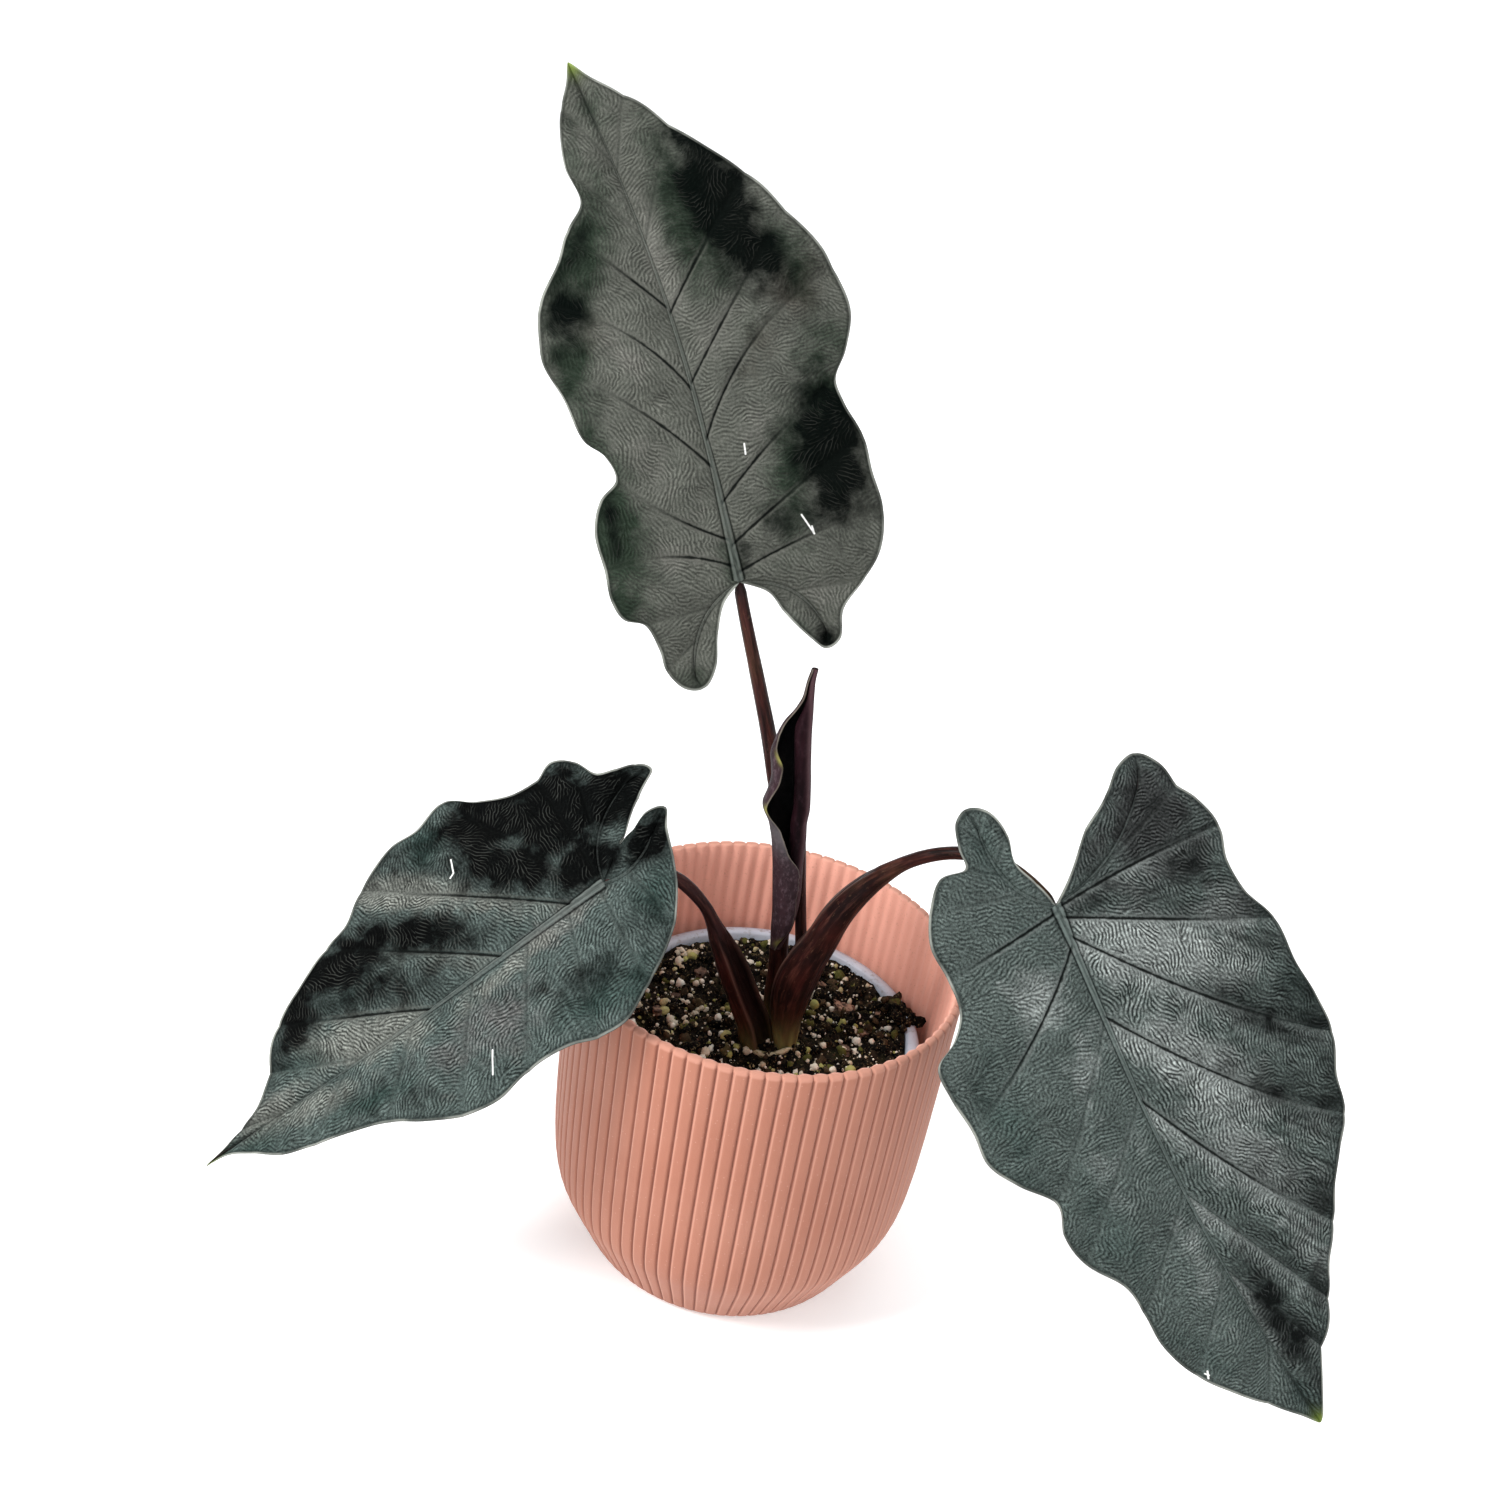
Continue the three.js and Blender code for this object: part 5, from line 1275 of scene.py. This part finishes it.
def leaf_stalk(name, stalk, finish):
    knots = np.array(stalk["points"], float)
    rings, sides = rings_per_point * (len(knots) - 1), stalk_sides
    share = np.linspace(0, 1, rings)
    line = smooth_line(knots[:, :3], share)
    half_width = np.interp(share * (len(knots) - 1), np.arange(len(knots)), knots[:, 3])
    half_width = np.convolve(np.pad(half_width, 8, mode="edge"), np.ones(17) / 17, mode="valid")
    half_width = half_width * (1 - 0.4 * np.clip((share - 0.94) / 0.06, 0, 1))
    along = np.gradient(line, axis=0)
    along /= np.linalg.norm(along, axis=1)[:, None]
    side = np.cross(np.array([0, 1, 0]), along)
    side /= np.linalg.norm(side, axis=1)[:, None]
    front = np.cross(along, side)
    angle = round_angles(sides)
    turn = (angle - radians(stalk["opening"]) + pi) % (2 * pi) - pi
    travelled = np.concatenate([[0], np.cumsum(np.linalg.norm(np.diff(line, axis=0), axis=1))])
    top = stalk["sheath_top"]
    sheath = np.clip((top - share) / 0.07, 0, 1)[:, None] if top else np.zeros((rings, 1))
    lips_at = stalk["lips"]
    inside = np.clip((lips_at - np.abs(turn)) / 0.12, 0, 1)[None, :]
    channel = inside * sheath
    lip = np.exp(-((np.abs(turn) - lips_at - 0.05) / 0.075) ** 2)[None, :] * sheath
    hollow = 0.3 * channel * np.cos(np.clip(turn, -1, 1) * 1.2)[None, :]
    radius = half_width[:, None] * (1 - hollow + 0.05 * lip)
    ripple = np.array([[noise.noise(Vector((cos(a) * 2, sin(a) * 2, d / 14)))
                        + 0.35 * noise.noise(Vector((cos(a) * 9, sin(a) * 9, d / 9))) for a in angle]
                       for d in travelled])
    radius = radius + 0.055 * ripple * half_width[:, None]
    ahead, aside = np.cos(angle)[None, :, None], np.sin(angle)[None, :, None]
    points = line[:, None] + radius[..., None] * (ahead * side[:, None] + aside * front[:, None])
    x, y = half_width[:, None] * np.cos(angle), half_width[:, None] * np.sin(angle)
    place = np.stack(np.broadcast_arrays(x, y, travelled[:, None]), axis=-1) * MM
    low = np.exp(-(travelled / 11) ** 2)[:, None] * (0.75 + 0.5 * ripple) * stalk["green"]
    above_sheath = np.clip((share - top + 0.12) / 0.15, 0, 1)[:, None] * np.ones((1, sides))
    flush = stalk["flush"][0] + (stalk["flush"][1] - stalk["flush"][0]) * above_sheath
    make_piece(f"{name}_stalk", points.reshape(-1, 3), tube_faces(rings, sides), finish, "leaf_stalk",
               [f"{name}_leaf_stalk"],
               stalk_place=place.reshape(-1, 3), channel=(channel * 0.85).ravel(), lip=(lip * 0.36).ravel(),
               foot_green=np.clip(low, 0, 1).ravel(), flush=flush.ravel())


purple = purple_stalk()
for stalk_name, stalk in stalks.items():
    leaf_stalk(stalk_name, stalk, purple)

# New leaf: the youngest blade, still furled. Its inner half is rolled into a tight column;
# its outer half stands open above and laps over the front below. Its inside is near black,
# its back purple, and a wavy pale margin winds down the front.
# Each level is (z, left, right, share of the width that the margin has reached).
new_leaf_levels = [
    (129, 0.6, 3.8, 0.5), (133, 0.3, 5, 0.62), (137, -0.2, 6.2, 0.84), (139, -0.4, 6.6, 0.9),
    (145.4, -1.1, 7.2, 0.92), (152.3, -2.1, 7.3, 0.86), (159.2, -3.1, 6.6, 0.92), (165.1, -4, 6, 0.88),
    (170.3, -5, 5.8, 0.56), (174.6, -5.9, 5.6, 0.45), (180.7, -7.8, 4.8, 0.33), (183.3, -9.4, 4.9, 0.14),
    (186.4, -11, 5, 0.1), (190.4, -9.9, 4.5, 0.12), (197, -9.1, 3.6, 0.25), (203.5, -10.4, 2.5, 0.36),
    (205.9, -11, 2.2, 0.32), (208, -10.6, 1.9, 0.12), (213, -9.6, 1.2, 0.06), (217.5, -8.1, 0.7, 0.04),
    (222, -5.4, 0.3, 0.04), (227, -3.5, -0.3, 0.15), (233.5, -3.1, -0.9, 0.2), (238, -2.2, -0.6, 0.3),
]
furl_centre_y = -1
column_radius = 2.7
furl_half_thickness = 0.3
furl_level_height = 0.72
wound_columns, opened_columns = 33, 76
nick_levels = [(206, 1.6), (186, 1.5), (133, 1.8)]
purple_back, deep_back = (0.0150, 0.0048, 0.0070), (0.0055, 0.0022, 0.0030)
purple_column, deep_column = (0.013, 0.0040, 0.0060), (0.005, 0.0022, 0.0030)
column_crease, column_light = (0.045, 0.022, 0.028), (0.075, 0.040, 0.045)
black_inside, brown_inside = (0.0018, 0.0018, 0.0020), (0.006, 0.005, 0.005)
pale_mauve, silver_grey = (0.090, 0.060, 0.070), (0.13, 0.13, 0.135)
cream_margin, yellow_nick = (0.19, 0.165, 0.13), (0.23, 0.22, 0.06)


def young_velvet():
    young = Finish("young_velvet", 0.5, specular_ior_level=0.03, sheen_weight=0.003)
    on_furl = young.place((1, 1, 0.45))
    creases = young.cloud(1.6, young.place((1, 1, 0.6)), 4, 0.7)
    flap = young.reading("flap")
    back = young.clouded(purple_back, deep_back, (6, on_furl, 3), 0.4, 0.62)
    back = young.tint(young.times(flap, 0.42), back, pale_mauve)
    crumpled = young.times(young.spread(creases, 0.5, 0.68), young.spread(flap, 0, 1, 0.35, 1))
    back = young.tint(crumpled, back, pale_mauve)
    back = young.tint(young.reading("silver"), back, silver_grey)
    lengthwise = young.place((1, 1, 0.12))
    column = young.clouded(purple_column, deep_column, (3, lengthwise, 3), 0.4, 0.65)
    column = young.tint(young.spread(creases, 0.52, 0.74, 0, 0.4), column, column_crease)
    column = young.tint(young.reading("column_edge"), column, column_light)
    back = young.tint(young.reading("column"), back, column)
    inside = young.clouded(black_inside, brown_inside, (6, on_furl, 2), 0.4, 0.62)
    skin = young.tint(young.reading("inner"), back, inside)
    broken = young.spread(young.cloud(5, on_furl, 3), 0.35, 0.6, 0.25, 1)
    pale_line = young.times(young.spread(young.reading("margin_gap"), 0.5, 0.2, 0, 0.63), broken)
    skin = young.tint(pale_line, skin, cream_margin)
    young.colour(young.tint(young.reading("nick"), skin, yellow_nick))
    young.emboss(creases, 0.35)
    return young


def new_leaf():
    levels = np.array(new_leaf_levels, float)
    z = np.arange(levels[0, 0], levels[-1, 0], furl_level_height)
    rows = len(z)
    followed = [np.pad(np.interp(z, levels[:, 0], levels[:, k]), 2, mode="edge") for k in (1, 2, 3)]
    left, right, reached = (np.convolve(line, np.ones(5) / 5, mode="valid") for line in followed)
    half, centre_x = ((right - left) / 2)[:, None], ((right + left) / 2)[:, None]
    column = np.minimum(column_radius, 0.58 * half)
    last_turn = (pi + np.arccos(np.clip(1 - 2 * reached, -1, 1)))[:, None]
    wound = np.linspace(radians(120), 2 * pi, wound_columns + 1)[None, :-1]
    opened = np.linspace(0, 1, opened_columns)[None, :] * last_turn
    shrink = 0.80 + 0.20 * np.clip((wound - radians(120)) / radians(150), 0, 1)
    lap = np.clip((opened - pi) / pi, 0, 1)
    wave = 0.22 * np.sin(z[:, None] * 0.9) + 0.15 * np.sin(z[:, None] * 2.3 + 1)
    crease = 0.12 * np.sin(z[:, None] * 2.4 + 5 * opened) + 0.1 * np.sin(z[:, None] * 1.1 - 7 * opened)
    crease *= lap
    crease *= np.minimum(1, half / 4)
    ring = half + 0.5 * lap * np.minimum(1, half / 4) + wave * lap ** 2 + crease
    column_x = centre_x + half - column
    x = np.concatenate([column_x + column * shrink * np.cos(wound), centre_x + ring * np.cos(opened)], axis=1)
    y = furl_centre_y + np.concatenate([column * shrink * np.sin(wound), ring * np.sin(opened)], axis=1)
    columns = x.shape[1]
    outward = np.stack([np.gradient(y, axis=1), -np.gradient(x, axis=1)], axis=-1)
    outward /= np.maximum(np.linalg.norm(outward, axis=2), 1e-6)[..., None]
    steps = np.hypot(np.diff(x, axis=1), np.diff(y, axis=1))
    to_margin = np.concatenate([np.cumsum(steps[:, ::-1], axis=1)[:, ::-1], np.zeros((rows, 1))], axis=1)
    thickness = furl_half_thickness * (1 - 0.5 * np.exp(-to_margin / 0.8))
    sheets = []
    for offset in (thickness, -thickness):
        sheets.append(np.stack([x + offset * outward[..., 0], y + offset * outward[..., 1],
                                np.broadcast_to(z[:, None], x.shape)], axis=-1).reshape(-1, 3))
    in_column = np.concatenate([np.ones(wound_columns), np.clip(1 - opened[0] / 0.9, 0, 1)])
    in_column = in_column[None, :] * np.ones((rows, 1))
    edge_light = np.exp(-((x - (right[:, None] - 0.5)) / 0.7) ** 2) * (y < furl_centre_y + 1) * 0.8
    lapped = np.concatenate([np.zeros((rows, wound_columns)), lap], axis=1)
    silver = np.exp(-((z[:, None] - 178) / 7) ** 2) * lapped ** 0.5 * 0.75
    nick = sum(np.exp(-((z[:, None] - level) / height) ** 2) for level, height in nick_levels)
    nick = nick * np.exp(-(to_margin / 1.3) ** 2) * 0.85
    both = {"margin_gap": to_margin, "column": in_column, "column_edge": edge_light, "silver": silver,
            "nick": nick, "flap": lapped ** 0.7}
    both = {key: np.tile(np.broadcast_to(value, x.shape).ravel(), 2) for key, value in both.items()}
    make_piece("new_blade", np.concatenate(sheets), slab_faces(rows, columns), young_velvet(), "new_leaf",
               ["new_leaf_blade"],
               inner=np.concatenate([np.zeros(rows * columns), np.ones(rows * columns)]), **both)


new_leaf()
